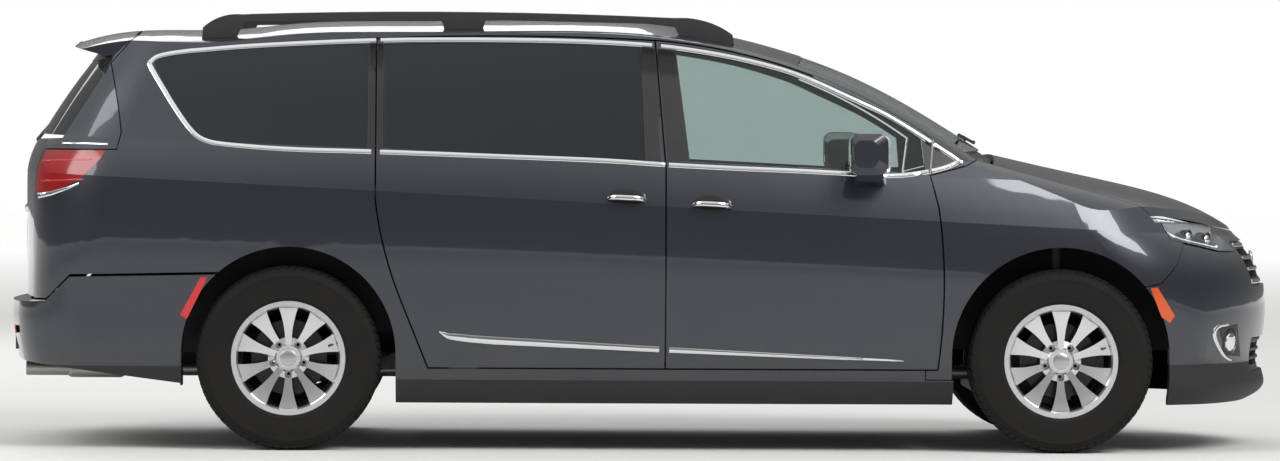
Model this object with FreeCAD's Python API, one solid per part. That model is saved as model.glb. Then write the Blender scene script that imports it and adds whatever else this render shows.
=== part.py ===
"""A full-size seven-seat minivan, built as an assembly of body panels, glass, lamps, running gear and cabin.

Units are millimetres. +X points to the nose, +Y to the left side, +Z up. The origin lies on the ground, in the
middle of the length and of the width. Left-hand pieces are drawn and the right-hand ones are their mirror images.
"""

import FreeCAD
import Part

import math
import os

from FreeCAD import Vector

# Driving dimensions
LENGTH = 5176.0
WIDTH = 2022.0
WHEELBASE = 3089.0
FRONT_OVERHANG = 925.0
TRACK = 1735.0
TYRE_WIDTH = 235.0
TYRE_ASPECT = 0.65
RIM_DIAMETER = 431.8

# Clearances
PANEL_GAP = 4.5
HINGE_SEAM_GAP = 9.0
DOOR_GAP = 6.5
SEAT_GAP = 0.4
GLASS_GAP = 0.8
PIN_FACE_GAP = 0.5

# Wall thicknesses, measured across the car
DOOR_DEPTH = 100.0
FRAME_DEPTH = 45.0
SILL_DEPTH = 150.0
RAIL_DEPTH = 90.0
FENDER_DEPTH = 70.0
ROOF_DEPTH = 35.0
HOOD_DEPTH = 28.0
GATE_DEPTH = 65.0
BUMPER_DEPTH = 70.0
GLASS_DEPTH = 5.0
GLASS_RECESS = 3.0

FRONT_TIP = LENGTH / 2
REAR_TIP = -LENGTH / 2
FRONT_AXLE = FRONT_TIP - FRONT_OVERHANG
REAR_AXLE = FRONT_AXLE - WHEELBASE
HALF_WIDTH = WIDTH / 2
WHEEL_RADIUS = RIM_DIAMETER / 2 + TYRE_WIDTH * TYRE_ASPECT
WHEEL_Y = TRACK / 2
BEYOND = 1300.0


# Plane curves

def circle_through(first, second, third):
    """Centre and radius of the circle through three points of a plane."""
    ax, ay = first
    bx, by = second
    cx, cy = third
    d = 2 * (ax * (by - cy) + bx * (cy - ay) + cx * (ay - by))
    a, b, c = ax * ax + ay * ay, bx * bx + by * by, cx * cx + cy * cy
    ux = (a * (by - cy) + b * (cy - ay) + c * (ay - by)) / d
    uy = (a * (cx - bx) + b * (ax - cx) + c * (bx - ax)) / d
    return (ux, uy), math.hypot(ax - ux, ay - uy)


def wire_in_plane(steps, place):
    """A closed wire. steps holds points, or pairs (through, end) for arcs; place turns a plane point to a vector."""
    edges = []
    here = steps[0]
    for step in steps[1:] + [steps[0]]:
        if isinstance(step[0], tuple):
            through, end = step
            edges.append(Part.Arc(place(here), place(through), place(end)).toShape())
        else:
            end = step
            if place(here).distanceToPoint(place(end)) > 1e-6:
                edges.append(Part.LineSegment(place(here), place(end)).toShape())
        here = end
    return Part.Wire(edges)


def side_prism(steps, y0=-BEYOND, y1=BEYOND):
    """An outline of the side view, (x, z), pushed across the car from y0 to y1."""
    wire = wire_in_plane(steps, lambda p: Vector(p[0], y0, p[1]))
    return Part.Face(wire).extrude(Vector(0, y1 - y0, 0))


def plan_prism(steps, z0=-100.0, z1=2000.0):
    """An outline of the plan view, (x, y), pushed up from z0 to z1."""
    wire = wire_in_plane(steps, lambda p: Vector(p[0], p[1], z0))
    return Part.Face(wire).extrude(Vector(0, 0, z1 - z0))


def front_prism(steps, x0, x1):
    """An outline of the front view, (y, z), pushed along the car from x0 to x1."""
    wire = wire_in_plane(steps, lambda p: Vector(x0, p[0], p[1]))
    return Part.Face(wire).extrude(Vector(x1 - x0, 0, 0))


def box(x0, x1, y0, y1, z0, z1):
    return Part.makeBox(x1 - x0, y1 - y0, z1 - z0, Vector(x0, y0, z0))


def rod_y(radius, x, z, y0, y1):
    return Part.makeCylinder(radius, y1 - y0, Vector(x, y0, z), Vector(0, 1, 0))


def rod_z(radius, x, y, z0, z1):
    return Part.makeCylinder(radius, z1 - z0, Vector(x, y, z0), Vector(0, 0, 1))


def moved(shape, dx=0.0, dy=0.0, dz=0.0):
    copy = shape.copy()
    copy.translate(Vector(dx, dy, dz))
    return copy


def mirrored(shape):
    return shape.mirror(Vector(0, 0, 0), Vector(0, 1, 0))


def both(shape):
    return Part.makeCompound([shape, mirrored(shape)])


def fused(shapes):
    result = shapes[0]
    if len(shapes) > 1:
        result = result.fuse(shapes[1:])
    return result.removeSplitter()


# The body's outer surface: level outlines of four kinds of arc, lofted upward

MIDDLE = (FRONT_AXLE + REAR_AXLE) / 2
END_CHORD = 700.0


def end_circle(tip, bow, forward):
    """The nose or tail circle: it passes tip on the centreline and drops back by bow at END_CHORD to the side."""
    radius = (END_CHORD ** 2 + bow ** 2) / (2 * bow)
    return (tip - forward * radius, 0.0), radius


def corner_arc(side, end, radius, forward):
    """Ends and middle of the arc of a given radius that rounds the corner between a side and an end circle."""
    (sx, sy), side_radius = side
    (ex, ey), end_radius = end
    a, b = side_radius - radius, end_radius - radius
    dx, dy = ex - sx, ey - sy
    d = math.hypot(dx, dy)
    along = (a * a - b * b + d * d) / (2 * d)
    off = math.sqrt(a * a - along * along)
    mx, my = sx + dx * along / d, sy + dy * along / d
    choices = [(mx - dy * off / d, my + dx * off / d), (mx + dy * off / d, my - dx * off / d)]
    centre = max(choices, key=lambda c: c[0] * forward)

    def touch(c, r):
        k = r / math.hypot(centre[0] - c[0], centre[1] - c[1])
        return c[0] + (centre[0] - c[0]) * k, c[1] + (centre[1] - c[1]) * k

    on_side, on_end = touch((sx, sy), side_radius), touch((ex, ey), end_radius)
    ux, uy = on_side[0] + on_end[0] - 2 * centre[0], on_side[1] + on_end[1] - 2 * centre[1]
    n = math.hypot(ux, uy)
    return on_side, (centre[0] + ux / n * radius, centre[1] + uy / n * radius), on_end


def level_outline(row, side_in=0.0, end_in=0.0):
    """One closed outline of the body, tilted by the row's slope and drawn inward by side_in and end_in."""
    z, slope, nose, nose_bow, nose_r, front_in, mid_in, rear_in, tail_r, tail_bow, tail = row
    half = HALF_WIDTH - side_in
    nose_x, tail_x = FRONT_TIP - nose - end_in, REAR_TIP + tail + end_in
    side = circle_through((FRONT_AXLE, half - front_in), (MIDDLE, half - mid_in), (REAR_AXLE, half - rear_in))
    ns, nm, ne = corner_arc(side, end_circle(nose_x, nose_bow, 1), nose_r, 1)
    ts, tm, te = corner_arc(side, end_circle(tail_x, tail_bow, -1), tail_r, -1)
    mid_x = (ns[0] + ts[0]) / 2
    (sx, sy), radius = side
    mid = (mid_x, sy + math.sqrt(radius ** 2 - (mid_x - sx) ** 2))

    def flip(p):
        return p[0], -p[1]

    steps = [flip(ne), ((nose_x, 0.0), ne), (nm, ns), (mid, ts), (tm, te), ((tail_x, 0.0), flip(te)),
             (flip(tm), flip(ts)), (flip(mid), flip(ns)), (flip(nm), flip(ne))]
    wire = wire_in_plane(steps, lambda p: Vector(p[0], p[1], 0))
    wire.rotate(Vector(0, 0, 0), Vector(0, 1, 0), math.degrees(math.atan(-slope)))
    wire.translate(Vector(0, 0, z))
    return wire


# Columns: height at the origin, slope, nose set-back, nose bow, nose corner radius, inset of the side at the front
# axle, in the middle and at the rear axle, tail corner radius, tail bow, tail set-back
SHOULDER_SLOPE = -0.0494
BELT_SLOPE = -0.042
SHOULDER_ROW = (985, SHOULDER_SLOPE, 130, 235, 500, 33, 21, 25, 330, 75, 52)
BELT_ROW = (1155, BELT_SLOPE, 290, 240, 480, 110, 72, 86, 330, 80, 112)
LOWER_ROWS = [
    (190, 0.0, 90, 215, 430, 140, 110, 120, 250, 60, 150),
    (255, 0.0, 8, 215, 440, 72, 62, 64, 270, 60, 92),
    (340, -0.01, 18, 215, 450, 40, 37, 38, 290, 60, 70),
    (490, -0.02, 14, 215, 460, 30, 26, 28, 300, 60, 62),
    (700, -0.03, 3, 220, 470, 15, 12, 13, 310, 62, 58),
    (850, -0.04, 34, 225, 480, 17, 12, 13, 320, 66, 54),
    SHOULDER_ROW,
]
SHOULDER_ROWS = [
    SHOULDER_ROW,
    (1070, -0.046, 210, 238, 490, 66, 42, 50, 330, 78, 72),
    BELT_ROW,
]
GLASS_ROWS = [
    BELT_ROW,
    (1320, -0.03, 400, 240, 440, 186, 134, 152, 300, 90, 196),
    (1490, -0.015, 560, 240, 400, 262, 203, 222, 270, 96, 292),
    (1650, 0.0, 760, 240, 360, 342, 276, 296, 240, 100, 388),
    (1800, 0.0, 960, 240, 330, 410, 345, 364, 220, 100, 476),
]
BUMPER_ROWS = [
    (190, 0.0, 118, 215, 430, 140, 110, 120, 250, 60, 130),
    (255, 0.0, 22, 215, 440, 72, 62, 64, 270, 60, 60),
    (340, -0.01, 12, 215, 450, 40, 37, 38, 290, 60, 22),
    (490, -0.02, 22, 215, 460, 30, 26, 28, 300, 60, 0),
    (640, -0.03, 12, 220, 470, 15, 12, 13, 310, 62, 20),
    (850, -0.04, 40, 225, 480, 17, 12, 13, 320, 66, 90),
]


def row_lofts(rows, side_in=0.0, end_in=0.0):
    return Part.makeLoft([level_outline(row, side_in, end_in) for row in rows], True, False)


# The upper surfaces: cross-sections of the hood and of the cabin roof, lofted along the car

CROWN_CHORD = 650.0
FLANK = 650.0
FLANK_FLOOR = -400.0
HOOD_TURN = 70.0
CABIN_TURN = 45.0


def arch_section(x, top, crown, edge, roll, turn, drop):
    """A cross-section with a crowned top. crown is its fall at CROWN_CHORD and roll the radius that turns it down.

    The roll ends at the half-width edge, turned by the angle turn, and a straight flank goes on from there.
    """
    radius = (CROWN_CHORD ** 2 + crown ** 2) / (2 * crown)
    sin, cos = math.sin(math.radians(turn)), math.cos(math.radians(turn))
    centre_z = top - radius
    roll_y = edge - roll * sin
    roll_z = centre_z + math.sqrt((radius - roll) ** 2 - roll_y ** 2)
    k = radius / (radius - roll)
    meet = (roll_y * k, centre_z + (roll_z - centre_z) * k)
    end = (edge, roll_z + roll * cos)
    ux, uy = meet[0] + end[0] - 2 * roll_y, meet[1] + end[1] - 2 * roll_z
    n = math.hypot(ux, uy)
    half = (roll_y + ux / n * roll, roll_z + uy / n * roll)
    flank = (edge + FLANK * cos, end[1] - FLANK * sin)
    steps = [(-flank[0], flank[1]), (-flank[0], FLANK_FLOOR), (flank[0], FLANK_FLOOR), flank, end, (half, meet),
             ((0.0, top), (-meet[0], meet[1])), ((-half[0], half[1]), (-end[0], end[1]))]
    return wire_in_plane(steps, lambda p: Vector(x, p[0], p[1] - drop))


# Columns: station, height on the centreline, crown, half-width at the vertical edge, edge radius
HOOD_STATIONS = [
    (FRONT_AXLE - 700, 1258, 26, 1000, 220),
    (FRONT_AXLE - 259, 1199, 30, 995, 220),
    (FRONT_AXLE + 114, 1116, 40, 983, 220),
    (FRONT_AXLE + 440, 1041, 48, 948, 210),
    (FRONT_TIP - 272, 962, 54, 894, 190),
    (FRONT_TIP - 160, 896, 58, 860, 180),
    (FRONT_TIP + 60, 700, 64, 790, 170),
]
CABIN_STATIONS = [
    (FRONT_AXLE - 60, 1080, 52, 915, 110),
    (FRONT_AXLE - 259, 1205, 52, 895, 110),
    (FRONT_AXLE - 591, 1407, 50, 838, 100),
    (FRONT_AXLE - 900, 1553, 48, 800, 90),
    (FRONT_AXLE - 1172, 1640, 46, 774, 85),
    (FRONT_AXLE - 1560, 1714, 45, 752, 80),
    (FRONT_AXLE - 2043, 1736, 45, 746, 80),
    (REAR_AXLE + 217, 1727, 45, 740, 80),
    (REAR_TIP + 624, 1687, 46, 724, 80),
    (REAR_TIP + 366, 1661, 48, 712, 80),
    (REAR_TIP + 262, 1630, 48, 704, 80),
    (REAR_TIP - 110, 1500, 50, 690, 80),
]


def arch_loft(stations, turn, drop=0.0):
    return Part.makeLoft([arch_section(*row, turn, drop) for row in stations], True, False)


LOWER = row_lofts(LOWER_ROWS).fuse(row_lofts(SHOULDER_ROWS))
UPPER = row_lofts(GLASS_ROWS)
HOOD_TOP = arch_loft(HOOD_STATIONS, HOOD_TURN)
CABIN_TOP = arch_loft(CABIN_STATIONS, CABIN_TURN)
REAR_SPACE = box(REAR_TIP - 100, FRONT_AXLE - 700, -BEYOND, BEYOND, 0, 2000)
LEFT_SPACE = box(REAR_TIP - 100, FRONT_TIP + 100, 0, BEYOND, 0, 2000)
BODY = LOWER.common(HOOD_TOP.fuse(REAR_SPACE)).fuse(UPPER.common(CABIN_TOP.fuse(HOOD_TOP)))
LEFT = BODY.common(LEFT_SPACE)

INNER_LOFTS = {}


def lower_inside(side_in, end_in):
    """The body below the belt drawn inward."""
    key = ("lower", side_in, end_in)
    if key not in INNER_LOFTS:
        INNER_LOFTS[key] = row_lofts(LOWER_ROWS, side_in, end_in).fuse(row_lofts(SHOULDER_ROWS, side_in, end_in))
    return INNER_LOFTS[key]


def upper_inside(side_in, end_in):
    """The body above the belt drawn inward."""
    key = ("upper", side_in, end_in)
    if key not in INNER_LOFTS:
        INNER_LOFTS[key] = row_lofts(GLASS_ROWS, side_in, end_in)
    return INNER_LOFTS[key]


def cabin_inside(drop):
    key = ("cabin", drop)
    if key not in INNER_LOFTS:
        INNER_LOFTS[key] = arch_loft(CABIN_STATIONS, CABIN_TURN, drop)
    return INNER_LOFTS[key]


def wall(region, low, up, end_in=0.0):
    """What lies of the left half of the body in a region, as a wall: low deep under the belt and up deep above it."""
    return LEFT.common(region).cut([lower_inside(low, end_in), upper_inside(up, end_in)])


def layer(region, outer, inner, end_outer=0.0, end_inner=0.0):
    """The part of a wall between two depths, each a pair: under the belt and above it."""
    block = LEFT.common(region).common(fused([lower_inside(outer[0], end_outer), upper_inside(outer[1], end_outer)]))
    return block.cut([lower_inside(inner[0], end_inner), upper_inside(inner[1], end_inner)])


def belt_z(x):
    return BELT_ROW[0] + BELT_SLOPE * x


def grown(steps, distance):
    """The outline of the side view, moved outward by a distance with sharp corners, as a prism on the left side."""
    wire = wire_in_plane(steps, lambda p: Vector(p[0], 0, p[1]))
    if distance:
        wire = wire.makeOffset2D(distance, 2, False, False, False)
    return Part.Face(wire).extrude(Vector(0, BEYOND, 0))


# Side view outlines, (x, z)

DOOR_BOTTOM = 335.0
PILLAR_X = FRONT_AXLE - 1581
PILLAR_TOP_X = PILLAR_X - 42
FRONT_SEAM = [(FRONT_AXLE - 497, DOOR_BOTTOM), (FRONT_AXLE - 475, 634.0), (FRONT_AXLE - 496, 980.0),
              (FRONT_AXLE - 529, 1112.0)]
SLIDE_REAR_X = REAR_AXLE + 345
FRONT_DOOR = [
    (PILLAR_X, DOOR_BOTTOM), FRONT_SEAM[0], (FRONT_SEAM[1], FRONT_SEAM[2]), FRONT_SEAM[3],
    (FRONT_AXLE - 515, 1250.0), ((FRONT_AXLE - 1045, 1522.0), (PILLAR_TOP_X, 1643.0)), (PILLAR_X, 1130.0)]
SLIDE_DOOR = [
    (PILLAR_X - DOOR_GAP, DOOR_BOTTOM), (PILLAR_X - DOOR_GAP, 1130.0), (PILLAR_TOP_X - DOOR_GAP, 1643.0),
    ((FRONT_AXLE - 2190, 1658.0), (SLIDE_REAR_X, 1646.0)), (SLIDE_REAR_X + 3, 1000.0),
    ((REAR_AXLE + 391, 780.0), (REAR_AXLE + 452, 600.0)), (REAR_AXLE + 559, DOOR_BOTTOM)]
FRONT_WINDOW = [
    (PILLAR_X + 93, belt_z(PILLAR_X) + 8), (PILLAR_X + 38, 1606.0),
    ((FRONT_AXLE - 1060, 1500.0), (FRONT_AXLE - 560, 1262.0)), (FRONT_AXLE - 545, belt_z(FRONT_AXLE - 545) + 8)]
SLIDE_WINDOW = [
    (SLIDE_REAR_X + 28, belt_z(SLIDE_REAR_X) + 8), (SLIDE_REAR_X + 26, 1626.0),
    ((FRONT_AXLE - 2190, 1634.0), (PILLAR_TOP_X - 62, 1620.0)), (PILLAR_X - 86, belt_z(PILLAR_X) + 8)]
QUARTER_WINDOW = [
    (SLIDE_REAR_X - 34, belt_z(SLIDE_REAR_X) + 8), (SLIDE_REAR_X - 34, 1624.0),
    ((REAR_AXLE - 250, 1604.0), (REAR_AXLE - 500, 1574.0)), ((REAR_AXLE - 545, 1556.0), (REAR_AXLE - 534, 1510.0)),
    ((REAR_AXLE - 460, 1380.0), (REAR_AXLE - 375, 1268.0)),
    ((REAR_AXLE - 335, 1238.0), (REAR_AXLE - 270, 1229.0))]
WINDOWS = [FRONT_WINDOW, SLIDE_WINDOW, QUARTER_WINDOW]

ARCH_RISE = 18.0
FRONT_ARCH_R = 438.0
REAR_ARCH_R = 428.0


def arch_steps(axle, radius, floor=0.0):
    z = WHEEL_RADIUS + ARCH_RISE
    return [(axle - radius, floor), (axle - radius, z), ((axle, z + radius), (axle + radius, z)),
            (axle + radius, floor)]


FRONT_ARCH = arch_steps(FRONT_AXLE, FRONT_ARCH_R)
REAR_ARCH = arch_steps(REAR_AXLE, REAR_ARCH_R)

FENDER_LOW = 294.0
SIDE_FRONT = FRONT_AXLE - 545
FENDER_REAR = SIDE_FRONT + PANEL_GAP
FENDER_TOP_DEPTH = 40.0
SILL_TOP = DOOR_BOTTOM - DOOR_GAP
NOSE_SEAM = [(FRONT_AXLE + 300, 664.0), (FRONT_AXLE + 400, 684.0), (FRONT_AXLE + 470, 760.0),
             (FRONT_AXLE + 500, 843.0)]
HEADLAMP = [
    (FRONT_AXLE + 393, 945.0), (FRONT_AXLE + 449, 855.0), (FRONT_TIP - 260, 806.0), (FRONT_TIP + 60, 800.0),
    (FRONT_TIP + 60, 1000.0), (FRONT_AXLE + 393, 1000.0)]
HEADLAMP_INNER_Y = 520.0
HEADLAMP_DEPTH = 90.0
TAIL_SEAM = [(REAR_AXLE - 280, 706.0), (REAR_TIP + 290, 694.0), (REAR_TIP + 190, 596.0), (REAR_TIP - 60, 584.0)]
TAIL_LAMP = [
    (REAR_TIP - 60, 1020.0), (REAR_TIP + 180, 1026.0), ((REAR_TIP + 350, 1100.0), (REAR_TIP + 430, 1194.0)),
    (REAR_TIP - 60, 1194.0)]
GATE_X = REAR_TIP + 530
GATE_TOP_GAP = 10.0
GATE_SIDE = [
    (GATE_X, 1900.0), (GATE_X - 6, 1655.0), (REAR_TIP + 430, 1545.0),
    ((REAR_TIP + 464, 1400.0), (REAR_TIP + 486, 1264.0)), (REAR_TIP + 470, 1200.0), (REAR_TIP - 60, 1200.0),
    (REAR_TIP - 60, 1900.0)]
GATE_HALF = 745.0
GATE_BOTTOM = 604.0
TAIL_LAMP_INNER_Y = GATE_HALF + PANEL_GAP

# Plan view outlines, (x, y)

HOOD_REAR = (FRONT_AXLE - 223, 0.0)
HOOD_CORNER = (FRONT_AXLE - 265, 800.0)
HOOD_SHOULDER = (FRONT_TIP - 538, 842.0)
HOOD_LAMP_SIDE = (FRONT_TIP - 366, 635.0)
HOOD_FRONT_SIDE = (FRONT_TIP - 256, 457.0)
HOOD_FRONT = (FRONT_TIP - 150, 0.0)
GLASS_FOOT = (FRONT_AXLE - 274, 0.0)
GLASS_FOOT_SIDE = (FRONT_AXLE - 400, 850.0)
GLASS_HEAD = (FRONT_AXLE - 1010, 0.0)
GLASS_HEAD_SIDE = (FRONT_AXLE - 1050, 700.0)


def hood_steps(grow=0.0):
    corner = (HOOD_CORNER[0] - grow, HOOD_CORNER[1] + grow)
    shoulder = (HOOD_SHOULDER[0] + grow / 2, HOOD_SHOULDER[1] + grow)
    by_lamp = (HOOD_LAMP_SIDE[0] + grow * 0.77, HOOD_LAMP_SIDE[1] + grow * 0.64)
    edge = (HOOD_FRONT_SIDE[0] + grow * 0.85, HOOD_FRONT_SIDE[1] + grow * 0.53)

    def flip(p):
        return p[0], -p[1]

    return [flip(corner), flip(shoulder), (flip(by_lamp), flip(edge)), ((HOOD_FRONT[0] + grow, 0.0), edge),
            (by_lamp, shoulder), corner, ((HOOD_REAR[0] - grow, 0.0), flip(corner))]


def windscreen_steps(grow=0.0):
    foot, foot_side = GLASS_FOOT[0] + grow, (GLASS_FOOT_SIDE[0] + grow, GLASS_FOOT_SIDE[1])
    head, head_side = GLASS_HEAD[0] - grow, (GLASS_HEAD_SIDE[0] - grow, GLASS_HEAD_SIDE[1])
    return [(foot_side[0], -foot_side[1]), ((foot, 0.0), foot_side), head_side,
            ((head, 0.0), (head_side[0], -head_side[1]))]


def plan_strip(x0, x1, y0, y1):
    return box(x0, x1, y0, y1, -100, 2000)


def export(name, shape):
    shape.exportStep(os.path.join("parts", name + ".step"))


# Body panels

FLANGE_DEPTH = 8.0
RETURN = 15.0
HINGE_X = FRONT_SEAM[1][0] - 88
HINGE_Y = HALF_WIDTH - 36
HINGE_R = 7.0
HINGE_LENGTH = 40.0
HINGE_HEIGHTS = (600.0, 830.0)
HINGE_PILLAR_Y = HINGE_Y - 97
CORE_FRONT = HINGE_X - 22
WINDSCREEN_LAP = 62.0
COWL_HALF = 700.0
ROOF_SPLIT = 90.0
END_DEPTH = 80.0
SIDE_DEPTHS = (DOOR_DEPTH, FRAME_DEPTH)


def door_panel(steps, window):
    """A door: a thin outer flange to its edges, a deep inner box set back from them, and its window."""
    flange = wall(grown(steps, 0.0), FLANGE_DEPTH, FLANGE_DEPTH)
    core = wall(grown(steps, -RETURN), *SIDE_DEPTHS)
    return flange, core, grown(window, 0.0)


def front_door():
    flange, core, window = door_panel(FRONT_DOOR, FRONT_WINDOW)
    core = core.cut(box(CORE_FRONT, FRONT_TIP, 0, BEYOND, 0, 1100.0))
    hinges = []
    for z in HINGE_HEIGHTS:
        hinges.append(rod_z(HINGE_R, HINGE_X, HINGE_Y, z, z + HINGE_LENGTH))
        hinges.append(box(CORE_FRONT - 20, HINGE_X, HINGE_Y - HINGE_R, HINGE_Y, z, z + HINGE_LENGTH))
    return fused([flange, core] + hinges).cut(window)


def slide_door():
    flange, core, window = door_panel(SLIDE_DOOR, SLIDE_WINDOW)
    rollers = [
        box(SLIDE_REAR_X + 3 - DOOR_GAP + SEAT_GAP, SLIDE_REAR_X + 40, HALF_WIDTH - 85, HALF_WIDTH - 60, 1010, 1060),
        box(REAR_AXLE + 640, REAR_AXLE + 760, HALF_WIDTH - 100, HALF_WIDTH - 60, SILL_TOP + SEAT_GAP, 370),
    ]
    return fused([flange, core] + rollers).cut(window)


def fender():
    region = side_prism([
        (FENDER_REAR, FENDER_LOW), (FRONT_AXLE, FENDER_LOW), *NOSE_SEAM, HEADLAMP[1], HEADLAMP[0], HEADLAMP[-1],
        (HEADLAMP[0][0], 1300.0), (FRONT_AXLE - 238, 1300.0), (FRONT_AXLE - 238, 1212.0),
        (FRONT_AXLE - 385, 1144.0), (FENDER_REAR, 1103.0)], 0, BEYOND)
    skin = LEFT.common(region).cut(nose_inside(FENDER_DEPTH, FENDER_TOP_DEPTH))
    return skin.cut([grown(FRONT_DOOR, DOOR_GAP), grown(FRONT_ARCH, 0), plan_prism(hood_steps(PANEL_GAP)),
                     cowl_room(), box(REAR_TIP, FRONT_TIP, 0, HINGE_PILLAR_Y + 50, 0, 700)])


def nose_inside(side, top):
    """The nose drawn inward by side at its walls and by top under the hood's surface."""
    walls = fused([lower_inside(side, side), upper_inside(side, side)])
    return walls.common(arch_loft(HOOD_STATIONS, HOOD_TURN, top))


def body_side():
    """The frame of the side: sill, pillars, roof rail and quarter panel, in one piece."""
    region = side_prism([
        (FRONT_AXLE - 430, 100.0), (FRONT_AXLE - 430, FENDER_LOW - PANEL_GAP),
        (SIDE_FRONT, FENDER_LOW - PANEL_GAP), (SIDE_FRONT, 1107.0), (FRONT_AXLE - 385, 1150.0),
        (FRONT_AXLE - 243, 1216.0), (FRONT_AXLE - 243, 1900.0), (REAR_TIP - 60, 1900.0), (REAR_TIP - 60, 590.0),
        (REAR_TIP + 190, 602.0), (REAR_TIP + 290, 700.0), (REAR_AXLE - 280, 712.0), (REAR_AXLE, 712.0),
        (REAR_AXLE, 100.0)], 0, BEYOND)
    skin = wall(region, SILL_DEPTH, ROOF_SPLIT, END_DEPTH)
    seams = [grown(FRONT_DOOR, DOOR_GAP), grown(SLIDE_DOOR, DOOR_GAP), grown(REAR_ARCH, 0),
             grown(QUARTER_WINDOW, 0), GATE_REGION_GAP, grown(TAIL_LAMP, GLASS_GAP).common(
                 box(REAR_TIP - 60, 0, TAIL_LAMP_INNER_Y, BEYOND, 0, 2000)),
             cowl_room()]
    skin = skin.cut(seams)
    glass_bed = plan_prism(windscreen_steps(2.0), 900).common(upper_inside(WINDSCREEN_LAP, 0.0))
    skin = skin.cut(glass_bed.cut(cabin_inside(GLASS_RECESS + GLASS_DEPTH + SEAT_GAP)))
    post = side_prism([(PILLAR_X - 80, 200.0), (PILLAR_X + 55, 200.0), (PILLAR_X + 55, 1130.0),
                       (PILLAR_TOP_X + 40, 1690.0), (PILLAR_TOP_X - 60, 1690.0), (PILLAR_X - 80, 1130.0)], 0, BEYOND)
    post = layer(post, (DOOR_DEPTH + 6, FRAME_DEPTH + 6), (SILL_DEPTH - 10, ROOF_SPLIT - 8))
    foot = box(HINGE_X - 20, HINGE_X + 110, HINGE_PILLAR_Y - 24, HINGE_PILLAR_Y, 200, 1020)
    lugs = []
    for z in HINGE_HEIGHTS:
        top = z - PIN_FACE_GAP
        lugs.append(rod_z(HINGE_R, HINGE_X, HINGE_Y, top - 30, top))
        lugs.append(box(HINGE_X - HINGE_R, HINGE_X + HINGE_R, HINGE_PILLAR_Y - 5, HINGE_Y, top - 30, top))
    return fused([skin, post, foot] + lugs)


def cowl_room():
    """The well between hood and windscreen, with the hood hinges and the swing of the hood's corners at its ends."""
    return box(FRONT_AXLE - 430, FRONT_AXLE, 0, COWL_HALF, 900, 1300).fuse([
        box(HOOD_HINGE_X - 20, FRONT_AXLE, 0, 792, 900, 1300),
        box(HOOD_HINGE_X, HOOD_HINGE_X + 30, 0, HOOD_CORNER_Y, 1060, 1300)])


def roof():
    region = plan_strip(GATE_X + GATE_TOP_GAP / 2, FRONT_AXLE - 985, -BEYOND, BEYOND)
    skin = UPPER.common(CABIN_TOP).common(region).common(upper_inside(ROOF_SPLIT + 1.0, END_DEPTH + 1.0))
    bed = plan_prism(windscreen_steps(2.0), 900).cut(cabin_inside(GLASS_RECESS + GLASS_DEPTH + SEAT_GAP))
    return skin.cut([cabin_inside(ROOF_DEPTH), bed])


def windscreen():
    region = plan_prism(windscreen_steps(), 900)
    pane = UPPER.fuse(LOWER).common(region).common(upper_inside(WINDSCREEN_LAP + SEAT_GAP, 0.0))
    return pane.common(cabin_inside(GLASS_RECESS)).cut(cabin_inside(GLASS_RECESS + GLASS_DEPTH))


def hood():
    region = plan_prism(hood_steps())
    skin = LOWER.fuse(UPPER).common(HOOD_TOP).common(region).common(box(0, 3000, -BEYOND, BEYOND, 800, 1400))
    skin = skin.cut(arch_loft(HOOD_STATIONS, HOOD_TURN, HOOD_DEPTH))
    arms = []
    for side in (-1, 1):
        y = side * HOOD_HINGE_Y
        arms.append(rod_y(HOOD_HINGE_R, HOOD_HINGE_X, HOOD_HINGE_Z, y - 12, y + 12))
        arms.append(box(HOOD_HINGE_X, HOOD_HINGE_X + 90, y - 12, y + 12, HOOD_HINGE_Z - HOOD_HINGE_R, HOOD_HINGE_Z))
    return fused([skin] + arms)


HOOD_HINGE_X = FRONT_AXLE - 283
HOOD_HINGE_Y = 740.0
HOOD_HINGE_Z = 1140.0
HOOD_HINGE_R = 9.0
HOOD_CORNER_Y = 806.0
GATE_REGION_GAP = grown(GATE_SIDE, PANEL_GAP).fuse(
    box(REAR_TIP - 60, REAR_TIP + 300, 0, GATE_HALF + PANEL_GAP, GATE_BOTTOM - 44, 1260.0))




# Nose

GRILLE_HALF = 470.0
GRILLE_Z = (662.0, 842.0)
INTAKE_HALF = 470.0
INTAKE_Z = (312.0, 452.0)
GRILLE_FACE = 16.0
MARKER_DEPTH = 14.0
FRONT_MARKER = [(FRONT_AXLE + 402, 548.0), (FRONT_AXLE + 437, 524.0), (FRONT_AXLE + 458, 552.0),
                (FRONT_AXLE + 384, 668.0), (FRONT_AXLE + 356, 662.0)]
REAR_MARKER = [(REAR_AXLE - 404, 524.0), (REAR_AXLE - 432, 540.0), (REAR_AXLE - 350, 690.0), (REAR_AXLE - 322, 690.0)]
GRILLE_DEPTH = 40.0


def nose_block(x0, half, z0, z1):
    return BODY.common(box(x0, FRONT_TIP + 100, -half, half, z0, z1))


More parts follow.
